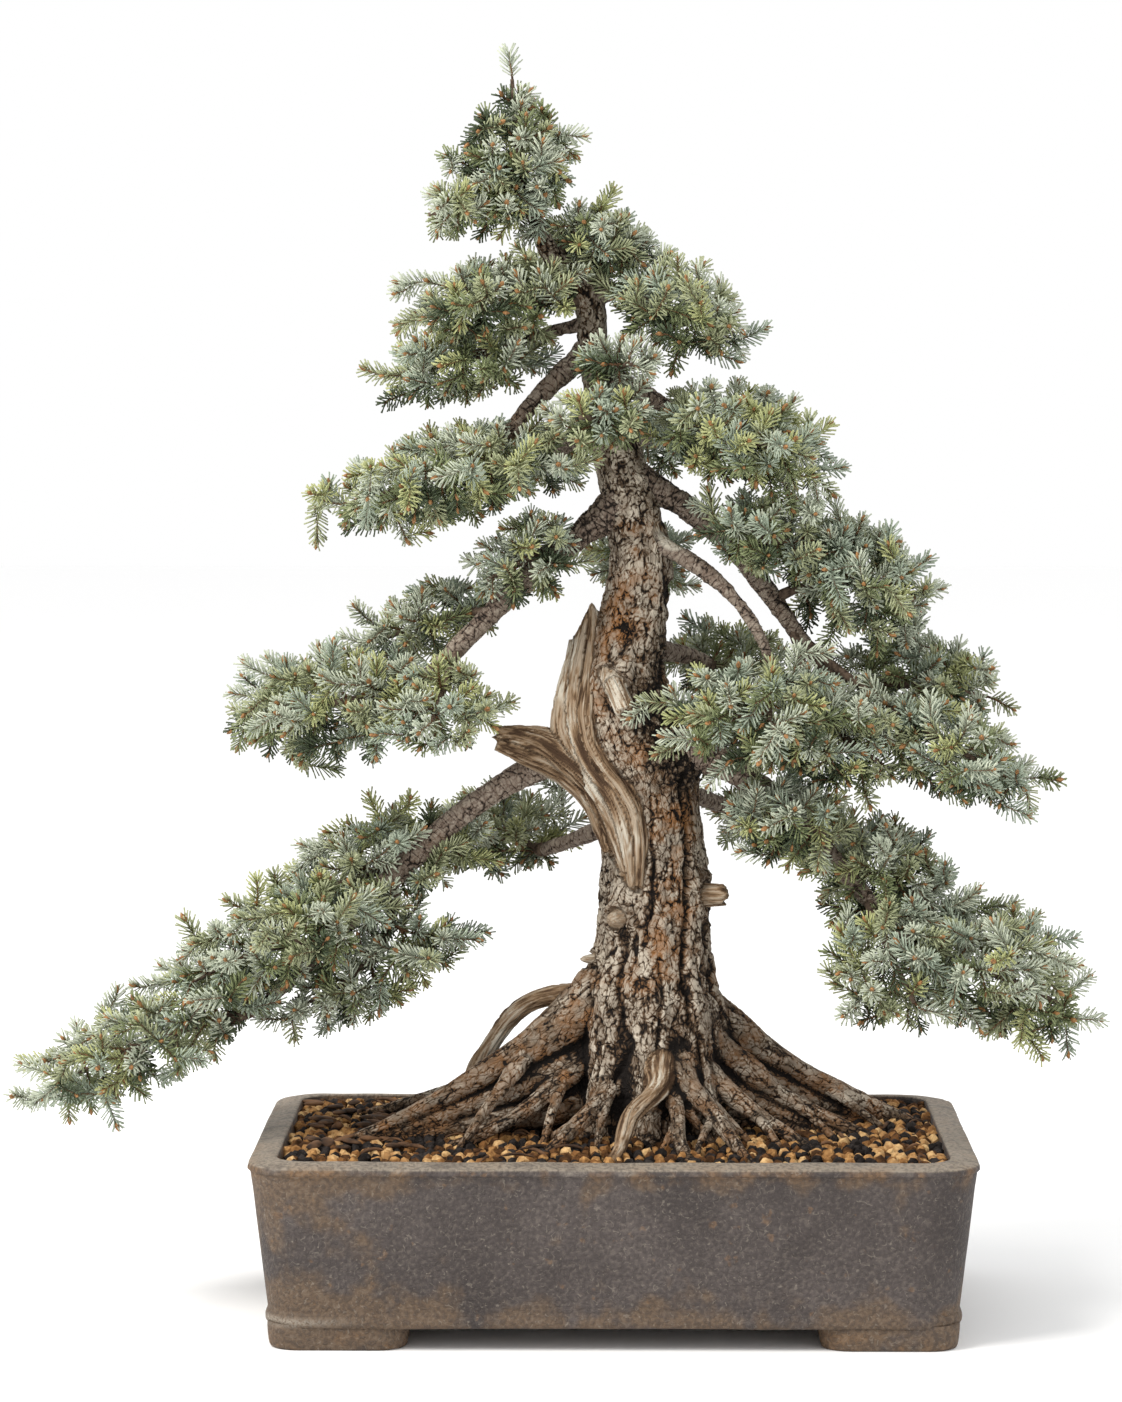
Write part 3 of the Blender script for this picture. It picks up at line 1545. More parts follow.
    def dress(self, obj: Piece) -> None:
        """Raises the bark's scales, sinks the bare wood and stores what the finish reads.

        Args:
            obj: The remeshed skin.
        """
        points = self.plant.points_of(obj)
        z = points[:, 2]
        normals = point_normals(obj)
        place = locate(points, self.limbs)
        on_trunk, on_limb = place.limb == 0, place.limb > 0
        hollow = self.plant.hollows(obj, self.hollow_rounds)
        noise = Noise(23)
        spot = place.spot(LIMBS_APART)
        height, out, tint, rough = self.scales(points, place, spot)
        low = ramp(270, 215, z)
        dark = 1 - 0.96 * ramp(-0.6, 2.0, hollow) * ramp(220, 170, z)

        # Bare wood, whose torn stretch takes its grain from the strands
        bare = self.bare_share(points, place)
        flow = spot.copy()
        first_strand = next(i for i, limb in enumerate(self.limbs) if limb is self.strands[0])
        torn_wood = on_trunk | (place.limb >= first_strand)
        torn_wood &= (bare > 0.3) & (points[:, 0] < 24) & (points[:, 1] < 12) & (z > 268)
        torn_wood &= self.peg.nearness(points) < 0.5
        chosen = np.where(torn_wood)[0]
        flow[chosen] = locate(points[chosen], self.strands).spot(STRANDS_APART)
        grain = Relief(11).grain(flow)
        ragged = np.array([limb.ragged for limb in self.limbs])[place.limb]
        knob = ragged < 0
        ragged = np.maximum(ragged, 0.0)
        depth = np.where(knob, 0.3, np.clip(place.radius * 0.4, 1.2, 2.8))
        height = blend(height, (grain - 0.55) * depth - 2.2 * on_trunk, bare)
        height += bare * (1 - bare) * 5.0 * on_trunk

        # Torn ends
        lengths = np.array([norms(np.diff(limb.path, axis=0)).sum() for limb in self.limbs])
        at_end = ramp(0.86, 0.99, place.along / lengths[place.limb]) * (ragged > 0)
        ends = np.array([unit(limb.path[-1] - limb.path[-2]) for limb in self.limbs])[place.limb]
        middle = ramp(0.75, 0.35, norms(place.across) / place.radius) * at_end
        tear = noise.fractal(points / 4.5, 2, 9) * ragged * 1.3 * at_end - middle * (ragged * 0.6 + 0.6)
        moved = points + normals * height[:, None] + ends * tear[:, None]
        moved[:, 2] = np.maximum(moved[:, 2], self.floor - 1.0)
        self.plant.set_points(obj, moved)

        # What the finish reads
        ochre = Scar(self.ochre_line, 13.0, 0.0).nearness(points) * 0.9
        ochre += ramp(0.05, 0.6, noise.fractal(points / 24.0, 2, 30)) * 0.6
        ochre = ochre * 0.9 + 0.24 * on_limb + 0.14 * low
        silver = ramp(-0.3, 0.4, noise.fractal(points / (9.0, 9.0, 34.0), 2, 50))
        silver = np.where(on_limb, np.maximum(silver, 0.4), silver * (0.35 + 0.65 * ramp(345, 320, z)))
        peg = self.peg.nearness(points) * on_limb
        silver = np.maximum(silver, self.torn.nearness(points) * 1.6 + peg * 1.5)
        worn = ramp(-0.2, 0.5, noise.fractal(points / 11.0, 2, 57))
        tint = tint * np.where(on_limb, 0.1 + 0.9 * worn, 1.0) + 0.3 * low * ramp(-2.0, -5.0, hollow)
        warp = noise.way(spot / 6.5, 60) * 2.2 + noise.way(spot / 2.6, 64) * 0.8
        flow = np.where((bare > 0.3)[:, None], flow * (1.0, 1.0, 0.1), (flow + warp) * (1.0, 1.0, 0.6))
        shade = dark * (0.35 + 0.65 * ramp(SOIL_TOP - 4, SOIL_TOP + 18, z))
        crevice = at_end * ramp(-0.1, 0.3, noise.fractal(points / 5.0, 2, 91))
        grain = (np.where(knob, 0.62 + 0.1 * grain, grain) + 0.3 * peg) * shade
        store(
            obj,
            relief=out * shade,
            tint=np.clip(tint * (1 - 0.6 * rough), 0, 1),
            ochre=np.clip(ochre * (1 - rough), 0, 1),
            bare=bare,
            grain=grain * (1 - 0.45 * middle) * (1 - 0.6 * crevice),
            silver=np.clip(silver, 0, 1),
            flow=flow,
        )

    def part(self, obj: Piece, name: str, low: float, high: float) -> Piece:
        """One closed part of the trunk, between two level cuts.

        Args:
            obj: The whole trunk.
            name: The part's name.
            low: The height of its lower cut.
            high: The height of its upper cut.

        Returns:
            The part.
        """
        bm = bmesh.new()
        bm.from_mesh(obj.data)
        for level, above in ((low, True), (high, False)):
            bmesh.ops.bisect_plane(
                bm,
                geom=[*bm.verts, *bm.edges, *bm.faces],
                plane_co=(0, 0, level * MM),
                plane_no=(0, 0, 1),
                clear_outer=not above,
                clear_inner=above,
            )
            cap = bmesh.ops.holes_fill(bm, edges=[edge for edge in bm.edges if edge.is_boundary], sides=0)
            for face in cap["faces"]:
                face.smooth = False
            bmesh.ops.triangulate(bm, faces=cap["faces"])
        mesh = bpy.data.meshes.new(name)
        bm.to_mesh(mesh)
        bm.free()
        return add_object(name, mesh)

    def build(self) -> None:
        """Makes the trunk, as parts that lie over each other."""
        obj = self.plant.mesh_object("trunk", self.tubes())
        self.plant.remesh(obj, self.voxel, self.smoothing)
        self.dress(obj)
        obj.data.shade_smooth()
        material = BarkFinish("trunk_bark").make()
        for name, low, high in zip(self.part_names, self.partings, self.partings[1:]):
            part = self.part(obj, name, low, high)
            self.plant.hand_over(part, material, "trunk_bark", ["trunk"], smooth=False)
        bpy.data.objects.remove(obj)


@dataclass
class Boughs:
    """All the boughs as one skin with ringed, scaly bark."""

    plant: Plant
    voxel: float = 1.2
    smoothing: int = 3
    collar: float = 0.5
    torn: Patch = Patch((39, -20, 501), 11.0)

    def build(self) -> None:
        """Makes the boughs."""
        limbs = [bough_limb(bough, 28) for bough in BOUGHS]
        noise = Noise(61)
        shapes = []
        for number, limb in enumerate(limbs):
            _, trunk_radius = trunk_at(BOUGHS[number].height)
            apart = norms(limb.path - limb.path[0])
            swell = 1 + self.collar * np.exp(-np.maximum(apart - trunk_radius * 0.8, 0) / 9.0)
            knots = 1 + 0.13 * noise.along(np.linspace(0, 1, len(limb.path)) * 9, number)
            shapes.append(tube(limb.path, limb.radii * swell * knots, 16))
        obj = self.plant.mesh_object("boughs", Shape.joined(shapes))
        self.plant.remesh(obj, self.voxel, self.smoothing)
        points = self.plant.points_of(obj)
        place = locate(points, limbs)
        spot = place.spot(LIMBS_APART)
        height, out, tint = Relief(31).bark(spot, 4.4, 5.0)
        bare = ramp(0.3, 0.45, self.torn.nearness(points))
        rings = noise.fractal(spot / (14.0, 14.0, 2.6), 2)
        near_trunk = ramp(70, 30, place.along) * ramp(6, 9, place.radius)
        lift = (height * (0.28 + 0.4 * near_trunk) + rings * 0.5) * (1 - bare) - bare * 0.6
        self.plant.set_points(obj, points + point_normals(obj) * lift[:, None])
        store(
            obj,
            relief=np.clip(out * 0.7 + rings * 0.2 + 0.22 - 0.2 * near_trunk, 0, 1),
            tint=tint,
            ochre=ramp(0.3, 0.8, noise.fractal(points / 25.0, 2, 5)) * 0.35,
            bare=bare,
            grain=np.clip(Relief(7).grain(spot) + 0.3, 0, 1),
            silver=np.ones(len(points)),
            flow=spot * (0.5, 0.5, 1.0),
        )
        shades = {"crack": display(38, 31, 26), "body": display(112, 96, 84), "plate": display(160, 148, 134)}
        material = BarkFinish("bough_bark", **shades).make()
        self.plant.hand_over(obj, material, "bough_bark", self.plant.named("bough_"))


# Foliage

class Tone(Enum):
    """The shades that sprays of needles are dealt, with the two colours of each."""

    SILVER = (display(194, 200, 179), display(162, 170, 150))
    BLUE = (display(170, 181, 161), display(140, 152, 134))
    SAGE = (display(172, 177, 140), display(142, 148, 112))
    LEAF = (display(136, 145, 102), display(108, 118, 81))
    FRESH = (display(184, 187, 132), display(152, 158, 108))
    DEEP = (display(82, 94, 68), display(62, 72, 50))


@dataclass
class Twig:
    """A twig: the points of its middle line, its two radii, its tone and where its needles start."""

    path: Array
    thick: float
    thin: float
    tone: Tone
    bare: float


@dataclass(frozen=True)
class Round:
    """A round of growth: its share of the twigs, their shortest and longest, and where they may end."""

    share: float
    shortest: float
    longest: float
    inner: float
    outer: float


@dataclass
class Crown:
    """The foliage: stems, twigs, needles and buds, each kind joined into pieces of its own."""

    plant: Plant
    seed: int = 41
    shoots: int = 2900
    candidates: int = 30
    rounds: tuple[Round, ...] = (
        Round(0.19, 26.0, 66.0, 0.35, 0.95),
        Round(0.65, 12.0, 30.0, 0.3, 0.97),
        Round(0.16, 13.0, 25.0, 0.9, 1.2),
    )
    needles_per_mm: float = 2.0
    needle_long: float = 8.7
    needle_foot: float = 0.4
    needle_girth: float = 0.6
    needled_length: float = 29.0
    lobes: float = 0.15
    full_masses: tuple[str, ...] = ("front_top", "front_upper", "left_top_high", "right_crest", "apex")
    clear_of_limb: float = 5.0
    outward_turn: float = 0.8
    fresh_masses: tuple[str, ...] = ("left_high", "right_mid_near", "right_upper", "left_low_near")
    leader: Point = (-54.0, -18.0, 771.0)
    leader_buds: int = 7
    twigs: list[Twig] = field(default_factory=list)
    stems: list[Limb] = field(default_factory=list)
    low_corner: Array = field(init=False)
    high_corner: Array = field(init=False)

    def __post_init__(self) -> None:
        """Works out the corners of the space that twigs end in, a little past the solids' box."""
        spare = np.array((16.0, 8.0, 8.0))
        self.low_corner = (np.array(CAD_BOX[0]) - self.plant.origin) / MM - spare
        self.high_corner = (np.array(CAD_BOX[1]) - self.plant.origin) / MM + spare

    def axes(self, mass: Mass) -> Array:
        """The directions through a mass.

        Args:
            mass: The mass.

        Returns:
            The unit directions along, across and up, as rows.
        """
        heading = math.radians(mass.heading)
        slope = math.radians(mass.slope)
        flat = math.cos(slope)
        along = np.array((math.cos(heading) * flat, math.sin(heading) * flat, -math.sin(slope)))
        across = np.array((-math.sin(heading), math.cos(heading), 0.0))
        return np.stack([along, across, np.cross(along, across)])

    def stem(self, mass: Mass) -> Limb:
        """The stem from what carries a mass to near the far end of its space.

        Args:
            mass: The mass.

        Returns:
            The stem.
        """
        along = self.axes(mass)[0]
        centre = np.array(mass.centre, float)
        foot, top = TRUNK_STATIONS[0][0], TRUNK_STATIONS[-1][0]
        at_tip = mass.share == 1.0
        if mass.limb == "trunk":
            height = foot + (top - foot) * mass.share
            start, _ = trunk_at(height)
            ahead = unit(start - trunk_at(height - 8)[0])
            thick = TRUNK_STATIONS[-1][3] if at_tip else 4.2
        else:
            bough = next(one for one in BOUGHS if one.name == mass.limb)
            limb = bough_limb(bough, 32)
            i = min(int(mass.share * 32), 31)
            start = limb.path[i] + (limb.path[i + 1] - limb.path[i]) * (mass.share * 32 - i)
            ahead = unit(limb.path[i + 1] - limb.path[i])
            radius = bough.thick + (bough.thin - bough.thick) * mass.share
            thick = radius * (0.95 if at_tip else 0.7)
        entry = (start - centre).dot(along) / mass.half[0]
        end = centre + along * (mass.half[0] * 0.72)
        near = centre + along * (mass.half[0] * min(max(-0.35, entry + 0.3), 0.4))
        second = start * 0.5 + near * 0.5
        if at_tip:
            second = start + ahead * (np.linalg.norm(near - start) * 0.45)
        shares = np.linspace(0, 1, 17)
        return Limb(bezier((start, second, near, end), shares), thick + (1.3 - thick) * shares, Surface.BARK)

    def deal_tone(self, mass: Mass, offset: Array, chance: np.random.Generator) -> Tone:
        """The tone of a spray, from where it stands in its mass.

        Args:
            mass: The mass.
            offset: The place in shares of the mass's half sizes.
            chance: The source of chance.

        Returns:
            The tone.
        """
        light = float(np.linalg.norm(offset)) * 0.6 + offset[2] * 0.35 + chance.uniform(-0.3, 0.3)
        fresh = 0.17 if mass.name in self.fresh_masses else 0.08
        if chance.random() < fresh and light > 0.2:
            return Tone.FRESH
        choices = (Tone.DEEP, Tone.DEEP, Tone.LEAF)
        if light > 0.6:
            choices = (Tone.SILVER, Tone.SILVER, Tone.BLUE, Tone.SAGE)
        elif light > 0.38:
            choices = (Tone.BLUE, Tone.SILVER, Tone.SAGE, Tone.LEAF)
        elif light > 0.15:
            choices = (Tone.SAGE, Tone.LEAF, Tone.DEEP)
        return choices[int(chance.integers(len(choices)))]

    def grow_mass(self, mass: Mass, count: int, solids: Array) -> None:
        """Grows one mass: a stem, then twigs that each go where the mass is emptiest.

        Args:
            mass: The mass.
            count: How many twigs it gets.
            solids: Rows of X, Y, Z and radius that twigs stay clear of.
        """
        chance = np.random.default_rng(self.seed * 1000 + MASSES.index(mass))
        noise = Noise(self.seed + MASSES.index(mass))
        axes = self.axes(mass)
        centre = np.array(mass.centre, float)
        half = np.array(mass.half, float)
        stem = self.stem(mass)
        self.stems.append(stem)
        near = solids[norms(solids[:, :3] - centre) < half.max() + 65]
        inside = norms(((stem.path[1:] - centre) @ axes.T) / half) < 1.05
        starts = stem.path[1:][inside]
        ways = unit(np.diff(stem.path, axis=0))[inside]
        girths = stem.radii[1:][inside]
        filled = stem.path[-1:]
        for stage in self.rounds:
            for _ in range(round(count * stage.share)):
                offsets = unit(chance.normal(size=(self.candidates, 3)))
                offsets *= chance.uniform(stage.inner, 1.0, (self.candidates, 1)) ** 0.45 * stage.outer
                if mass.name == "apex":
                    offsets[:, 1:] *= np.clip(0.95 - 0.95 * offsets[:, :1], 0.08, 1.0)
                else:
                    lobes = noise.value(unit(offsets) * 2.3 + 40) + noise.value(offsets * half / 19.0) * 0.8
                    offsets *= (0.96 + self.lobes * lobes)[:, None]
                tips = centre + (offsets * half * (0.93, 1.0, 1.05)) @ axes
                room = norms(tips[:, None] - filled[None]).min(axis=1)
                if len(near):
                    apart = norms(tips[:, None] - near[None, :, :3]) - near[:, 3]
                    room[apart.min(axis=1) < self.clear_of_limb] = -1.0
                room[np.any((tips < self.low_corner) | (tips > self.high_corner), axis=1)] = -1.0
                way = tips[:, None] - starts[None]
                apart = np.maximum(norms(way), 1e-6)
                lean = (way * ways).sum(axis=2) / apart
                cost = apart * (1.4 - 0.6 * lean)
                cost[(lean < 0.1) | (apart > stage.longest) | (apart < stage.shortest)] = 1e6
                parents = cost.argmin(axis=1)
                room[cost.min(axis=1) > 1e5] = -1.0
                best = int(room.argmax())
                if room[best] < 0:
                    continue
                tip, parent = tips[best], parents[best]
                start, long = starts[parent], apart[best, parent]
                lift = np.array((0.0, 0.0, long * chance.uniform(-0.02, 0.1)))
                outward = unit((offsets[best] / half) @ axes)
                ahead = unit(unit(tip - start) + outward * self.outward_turn)
                controls = (start, start + ways[parent] * long * 0.34, tip - ahead * long * 0.34 - lift, tip)
                path = bezier(controls, np.linspace(0, 1, 6))
                thick = min(girths[parent] * 0.75, 1.5)
                bare = max(0.08, 1 - self.needled_length / long)
                self.twigs.append(Twig(path, thick, 0.7, self.deal_tone(mass, offsets[best], chance), bare))
                starts = np.concatenate([starts, path[1:5]])
                ways = np.concatenate([ways, unit(path[2:6] - path[1:5])])
                girths = np.concatenate([girths, thick * np.array((0.9, 0.8, 0.7, 0.6))])
                filled = np.concatenate([filled, path[3:4], path[5:6]])

    def grow(self) -> None:
        """Grows every mass, with its share of the sprays by its size, and the leader on top."""
        limbs = [trunk_limb(60), *(bough_limb(bough) for bough in BOUGHS)]
        solids = np.concatenate([limb.spheres() for limb in limbs])
        fuller = [1.3 if mass.name in self.full_masses else 1 for mass in MASSES]
        sizes = np.array([math.prod(mass.half) ** 0.76 * more for mass, more in zip(MASSES, fuller)])
        counts = np.round(self.shoots * sizes / sizes.sum()).astype(int)
        for mass, count in zip(MASSES, counts):
            self.grow_mass(mass, int(count), solids)
        foot = self.stems[0].path[-3]
        path = foot + (np.array(self.leader) - foot) * np.linspace(0, 1, 6)[:, None]
        self.twigs.append(Twig(path, 1.9, 1.2, Tone.SAGE, 0.1))
        LOG.info("crown: %d stems, %d twigs", len(self.stems), len(self.twigs))

    def needles_on(self, twig: Twig, chance: np.random.Generator) -> tuple[Array, Array, Array]:
        """Where the needles of a twig stand.

        Args:
            twig: The twig.
            chance: The source of chance.

        Returns:
            Their feet, their directions times their lengths, and the twig's direction at each.
        """
        travelled = np.append(0.0, np.cumsum(norms(np.diff(twig.path, axis=0))))
        length = travelled[-1]
        first = twig.bare * length
        count = max(int((length - first) * self.needles_per_mm), 8)
        place = first + (length - first) * (np.arange(count) + 0.5) / count

        def at_place(rows: Array) -> Array:
            """Reads rows that belong to the path's points at the needles' places."""
            return columns(*[np.interp(place, travelled, rows[:, k]) for k in range(3)])

        feet = at_place(twig.path)
        forward, sideways, upwards = (unit(at_place(rows)) for rows in frames_along(twig.path))
        angle = np.arange(count) * GOLDEN_ANGLE + chance.uniform(-0.35, 0.35, count)
        outward = sideways * np.cos(angle)[:, None] + upwards * np.sin(angle)[:, None]
        outward = unit(outward + (0.0, 0.0, 0.2))
        share = (place - first) / max(length - first, 1e-6)
        pitch = np.radians(67 - 31 * share**2 + chance.uniform(-8, 8, count))
        direction = forward * np.cos(pitch)[:, None] + outward * np.sin(pitch)[:, None]
        long = self.needle_long * (0.66 + 0.38 * np.sin(math.pi * np.clip(share * 0.8 + 0.14, 0, 1)))
        long = long * chance.uniform(0.9, 1.1, count)
        return feet, direction * long[:, None], forward

    def needle_shapes(self) -> dict[Tone, Shape]:
        """All needles as slim three-sided rods with blunt ends.

        Returns:
            A shape for each tone.
        """
        chance = np.random.default_rng(self.seed)
        rows: dict[Tone, list[tuple[Array, Array, Array]]] = {}
        for twig in self.twigs:
            rows.setdefault(twig.tone, []).append(self.needles_on(twig, chance))
        shapes = {}
        turns = [(k, (k + 1) % 3) for k in range(3)]
        sides = [face for k, after in turns for face in ((k, after, 3 + after), (k, 3 + after, 3 + k))]
        pattern = np.array([*sides, (0, 2, 1), (3, 4, 5)])
        for tone, parts in rows.items():
            feet, way, forward = (np.concatenate([part[i] for part in parts]) for i in range(3))
            count = len(feet)
            long = norms(way)[:, None]
            side = unit(np.cross(way, forward) + 1e-6)
            up = unit(np.cross(way, side))
            girth = chance.uniform(0.85, 1.15, count)[:, None]
            points = np.zeros((count, NEEDLE_POINTS, 3))
            for k in range(3):
                angle = k * math.tau / 3
                out = (side * math.cos(angle) + up * math.sin(angle)) * girth
                points[:, k] = feet + out * self.needle_foot
                points[:, 3 + k] = feet + way + forward * long * 0.12 + out * self.needle_girth
            triangles = (np.arange(count) * NEEDLE_POINTS)[:, None, None] + pattern[None]
            shapes[tone] = Shape(points.reshape(-1, 3), triangles.reshape(-1, 3))
        return shapes

    def make_needles(self) -> None:
        """Makes the needles, in pieces that stay under the limit."""
        shapes = self.needle_shapes()
        for tone in Tone:
            shape = shapes[tone]
            name = "needles_" + tone.name.lower()
            material = PlainFinish(name, *tone.value, 7.0, 0.5, 0.35).make()
            needles = len(shape.triangles) // NEEDLE_TRIANGLES
            parts = math.ceil(len(shape.triangles) / MOST_TRIANGLES)
            for part, chosen in enumerate(np.array_split(np.arange(needles), parts)):
                first, after = chosen[0], chosen[-1] + 1
                rows = shape.triangles[first * NEEDLE_TRIANGLES:after * NEEDLE_TRIANGLES]
                points = shape.points[first * NEEDLE_POINTS:after * NEEDLE_POINTS]
                shape_of_part = Shape(points, rows - first * NEEDLE_POINTS)
                obj = self.plant.mesh_object(f"{name}_{part + 1}", shape_of_part)
                self.plant.hand_over(obj, material, "foliage", self.plant.named("mass_"), smooth=False)

    def make_rods(self, name: str, shapes: list[Shape], finish: PlainFinish, slot: str) -> None:
        """Makes one smooth piece of many tubes.

        Args:
            name: The piece's name.
            shapes: The tubes.
            finish: Their finish.
            slot: The record's material slot.
        """
        obj = self.plant.mesh_object(name, Shape.joined(shapes))
        self.plant.hand_over(obj, finish.make(), slot, self.plant.named("mass_"))

    def bud(self, twig: Twig, chance: np.random.Generator, spread: float) -> Shape:
        """A scaly bud on a twig's tip.

        Args:
            twig: The twig.
            chance: The source of chance.
            spread: How far it may turn aside, as a share of its length.

        Returns:
            The bud.
        """
        ahead = unit(unit(twig.path[-1] - twig.path[-2]) + unit(chance.normal(size=3)) * spread)
        long = chance.uniform(4.0, 6.0)
        wide = long * chance.uniform(0.27, 0.34)
        path = twig.path[-1] + ahead * (np.array((0.0, 0.3, 0.62, 0.9, 1.0)) * long)[:, None] - ahead * 0.6
        return tube(path, wide * np.array((0.7, 1.0, 0.85, 0.4, 0.1)), 5)

    def build(self) -> None:
        """Grows the crown and makes its pieces."""
        self.grow()
        noise = Noise(71)
        stems = []
        for number, stem in enumerate(self.stems):
            knots = 1 + 0.18 * noise.along(np.arange(len(stem.path)) * 0.9, number * 3)
            stems.append(tube(stem.path, stem.radii * knots, 9))
        bark = PlainFinish("stem_bark", display(108, 92, 78), display(62, 50, 42), 3.0, 0.9, 0.2)
        self.make_rods("stems", stems, bark, "bough_bark")
        twigs = [tube(twig.path, np.linspace(twig.thick, twig.thin, 6), 3) for twig in self.twigs]
        young = PlainFinish("twig_bark", display(132, 98, 70), display(84, 62, 46), 6.0, 0.8, 0.25)
        self.make_rods("twigs", twigs, young, "foliage")
        chance = np.random.default_rng(self.seed + 5)
        buds = [self.bud(twig, chance, 0.1) for twig in self.twigs if chance.random() < 0.85]
        buds += [self.bud(self.twigs[-1], chance, 0.9) for _ in range(self.leader_buds)]
        scales = PlainFinish("bud_scales", display(170, 124, 78), display(110, 78, 48), 2.0, 0.6, 0.3)
        self.make_rods("buds", buds, scales, "foliage")
        self.make_needles()


# Soil

@dataclass
class SoilBed:
    """Loose baked clay grains over a dark bed, scattered by one node tree."""

    plant: Plant
    spacing: float = 5.9
    variants: int = 7
    grain_corners: int = 20
    smallest: float = 2.9
    largest: float = 4.7
    layer_drops: tuple[float, float] = (5.0, 0.8)
    density: float = 90000.0
    mound: float = 4.5
    mound_x: float = 25.0
    mound_reach: tuple[float, float] = (130.0, 90.0)
    edge_fall: float = 2.0
    fibres: int = 60
    flakes: int = 46
    # Each shade with the part of the scatter that it takes
    shades: tuple[tuple[GrainFinish, tuple[float, float]], ...] = (
        (GrainFinish("grains_ochre", display(184, 140, 88), display(122, 84, 48)), (0.0, 0.24)),
        (GrainFinish("grains_tan", display(214, 178, 126), display(164, 124, 80)), (0.24, 0.42)),
        (GrainFinish("grains_brown", display(106, 72, 42), display(60, 40, 24)), (0.42, 0.64)),
        (GrainFinish("grains_dark", display(54, 49, 47), display(26, 22, 20)), (0.64, 1.01)),
    )

    def height_at(self, x: Array, y: Array) -> Array:
        """The soil's height, a little higher round the trunk and falling to the walls.

        Args:
            x: Places to the right.
            y: Places to the back.

        Returns:
            The heights.
        """
        edge = np.minimum(POT_HALF_X - RIM_WIDTH - np.abs(x), POT_HALF_Y - RIM_WIDTH - np.abs(y))
        reach_x, reach_y = self.mound_reach
        centre = np.exp(-(((x - self.mound_x) / reach_x) ** 2) - ((y / reach_y) ** 2))
        return SOIL_TOP - self.edge_fall * ramp(20, 0, edge) + self.mound * centre

    def sheet(self, name: str, drop: float) -> Piece:
        """A grid over the soil, round at its corners, that the grains are scattered on.

        Args:
            name: The sheet's name.
            drop: How far below the soil's surface it lies.

        Returns:
            The sheet.
        """
        half = np.array((POT_HALF_X, POT_HALF_Y)) - RIM_WIDTH - 2.0
        steps = (64, 42)
        grid = np.meshgrid(*(np.linspace(-reach, reach, count) for reach, count in zip(half, steps)))
        flat = columns(*(axis.ravel() for axis in grid))
        corner = POT_CORNER - 16.0
        beyond = np.abs(flat) - (half - corner)
        far = norms(np.maximum(beyond, 0))
        cut = ((beyond.min(axis=1) > 0) & (far > corner))[:, None]
        pulled = np.sign(flat) * ((half - corner) + beyond * (corner / np.maximum(far, 1e-6))[:, None])
        x, y = np.where(cut, pulled, flat).T
        index = np.arange(len(flat)).reshape(steps[1], steps[0])
        low, right = index[:-1, :-1].ravel(), index[:-1, 1:].ravel()
        high, across = index[1:, :-1].ravel(), index[1:, 1:].ravel()
        triangles = np.concatenate([columns(low, right, across), columns(low, across, high)])
        return self.plant.mesh_object(name, Shape(columns(x, y, self.height_at(x, y) - drop), triangles))

    def grain_meshes(self) -> bpy.types.Collection:
        """A few angular grains, one millimetre in radius, for the tree to pick from.

        Returns:
            The grains.
        """
        group = bpy.data.collections.new("grain_variants")
        rng = random.Random(3)
        for number in range(self.variants):
            bm = bmesh.new()
            for turn in range(self.grain_corners):
                rise = 1 - (turn + 0.5) * 2 / self.grain_corners
                flat = math.sqrt(1 - rise * rise)
                angle = turn * GOLDEN_ANGLE
                way = Vector((math.cos(angle) * flat * 1.1, math.sin(angle) * flat, rise * 0.86))
                bm.verts.new((way + Vector([rng.gauss(0, 0.1) for _ in range(3)])) * MM)
            hull = bmesh.ops.convex_hull(bm, input=bm.verts)
            spare = [item for item in hull["geom_interior"] if isinstance(item, bmesh.types.BMVert)]
            bmesh.ops.delete(bm, geom=spare, context="VERTS")
            bmesh.ops.triangulate(bm, faces=bm.faces)
            bmesh.ops.recalc_face_normals(bm, faces=bm.faces)
            mesh = bpy.data.meshes.new(f"grain_{number}")
            bm.to_mesh(mesh)
            bm.free()
            group.objects.link(bpy.data.objects.new(f"grain_{number}", mesh))
        return group

    def tree(self, grains: bpy.types.Collection) -> bpy.types.NodeTree:
        """The node tree that scatters the grains.

        Args:
            grains: The grains to pick from.

        Returns:
            The tree, with named inputs for its sizes.
        """
        tree = bpy.data.node_groups.new("grain_scatter", "GeometryNodeTree")
        tree.is_modifier = True
        kinds = {"Geometry": "Geometry", "Seed": "Int", "Material": "Material"}
        kinds |= {name: "Float" for name in ("Spacing", "Smallest", "Largest", "From share", "To share")}
        for name, kind in kinds.items():
            tree.interface.new_socket(name, in_out="INPUT", socket_type="NodeSocket" + kind)
        tree.interface.new_socket("Geometry", in_out="OUTPUT", socket_type="NodeSocketGeometry")
        given = tree.nodes.new("NodeGroupInput").outputs

        def add(kind: str, inputs: dict, **settings: object) -> Sequence[bpy.types.NodeSocket]:
            """The outputs of one more node."""
            return add_node(tree, kind, settings, inputs).outputs

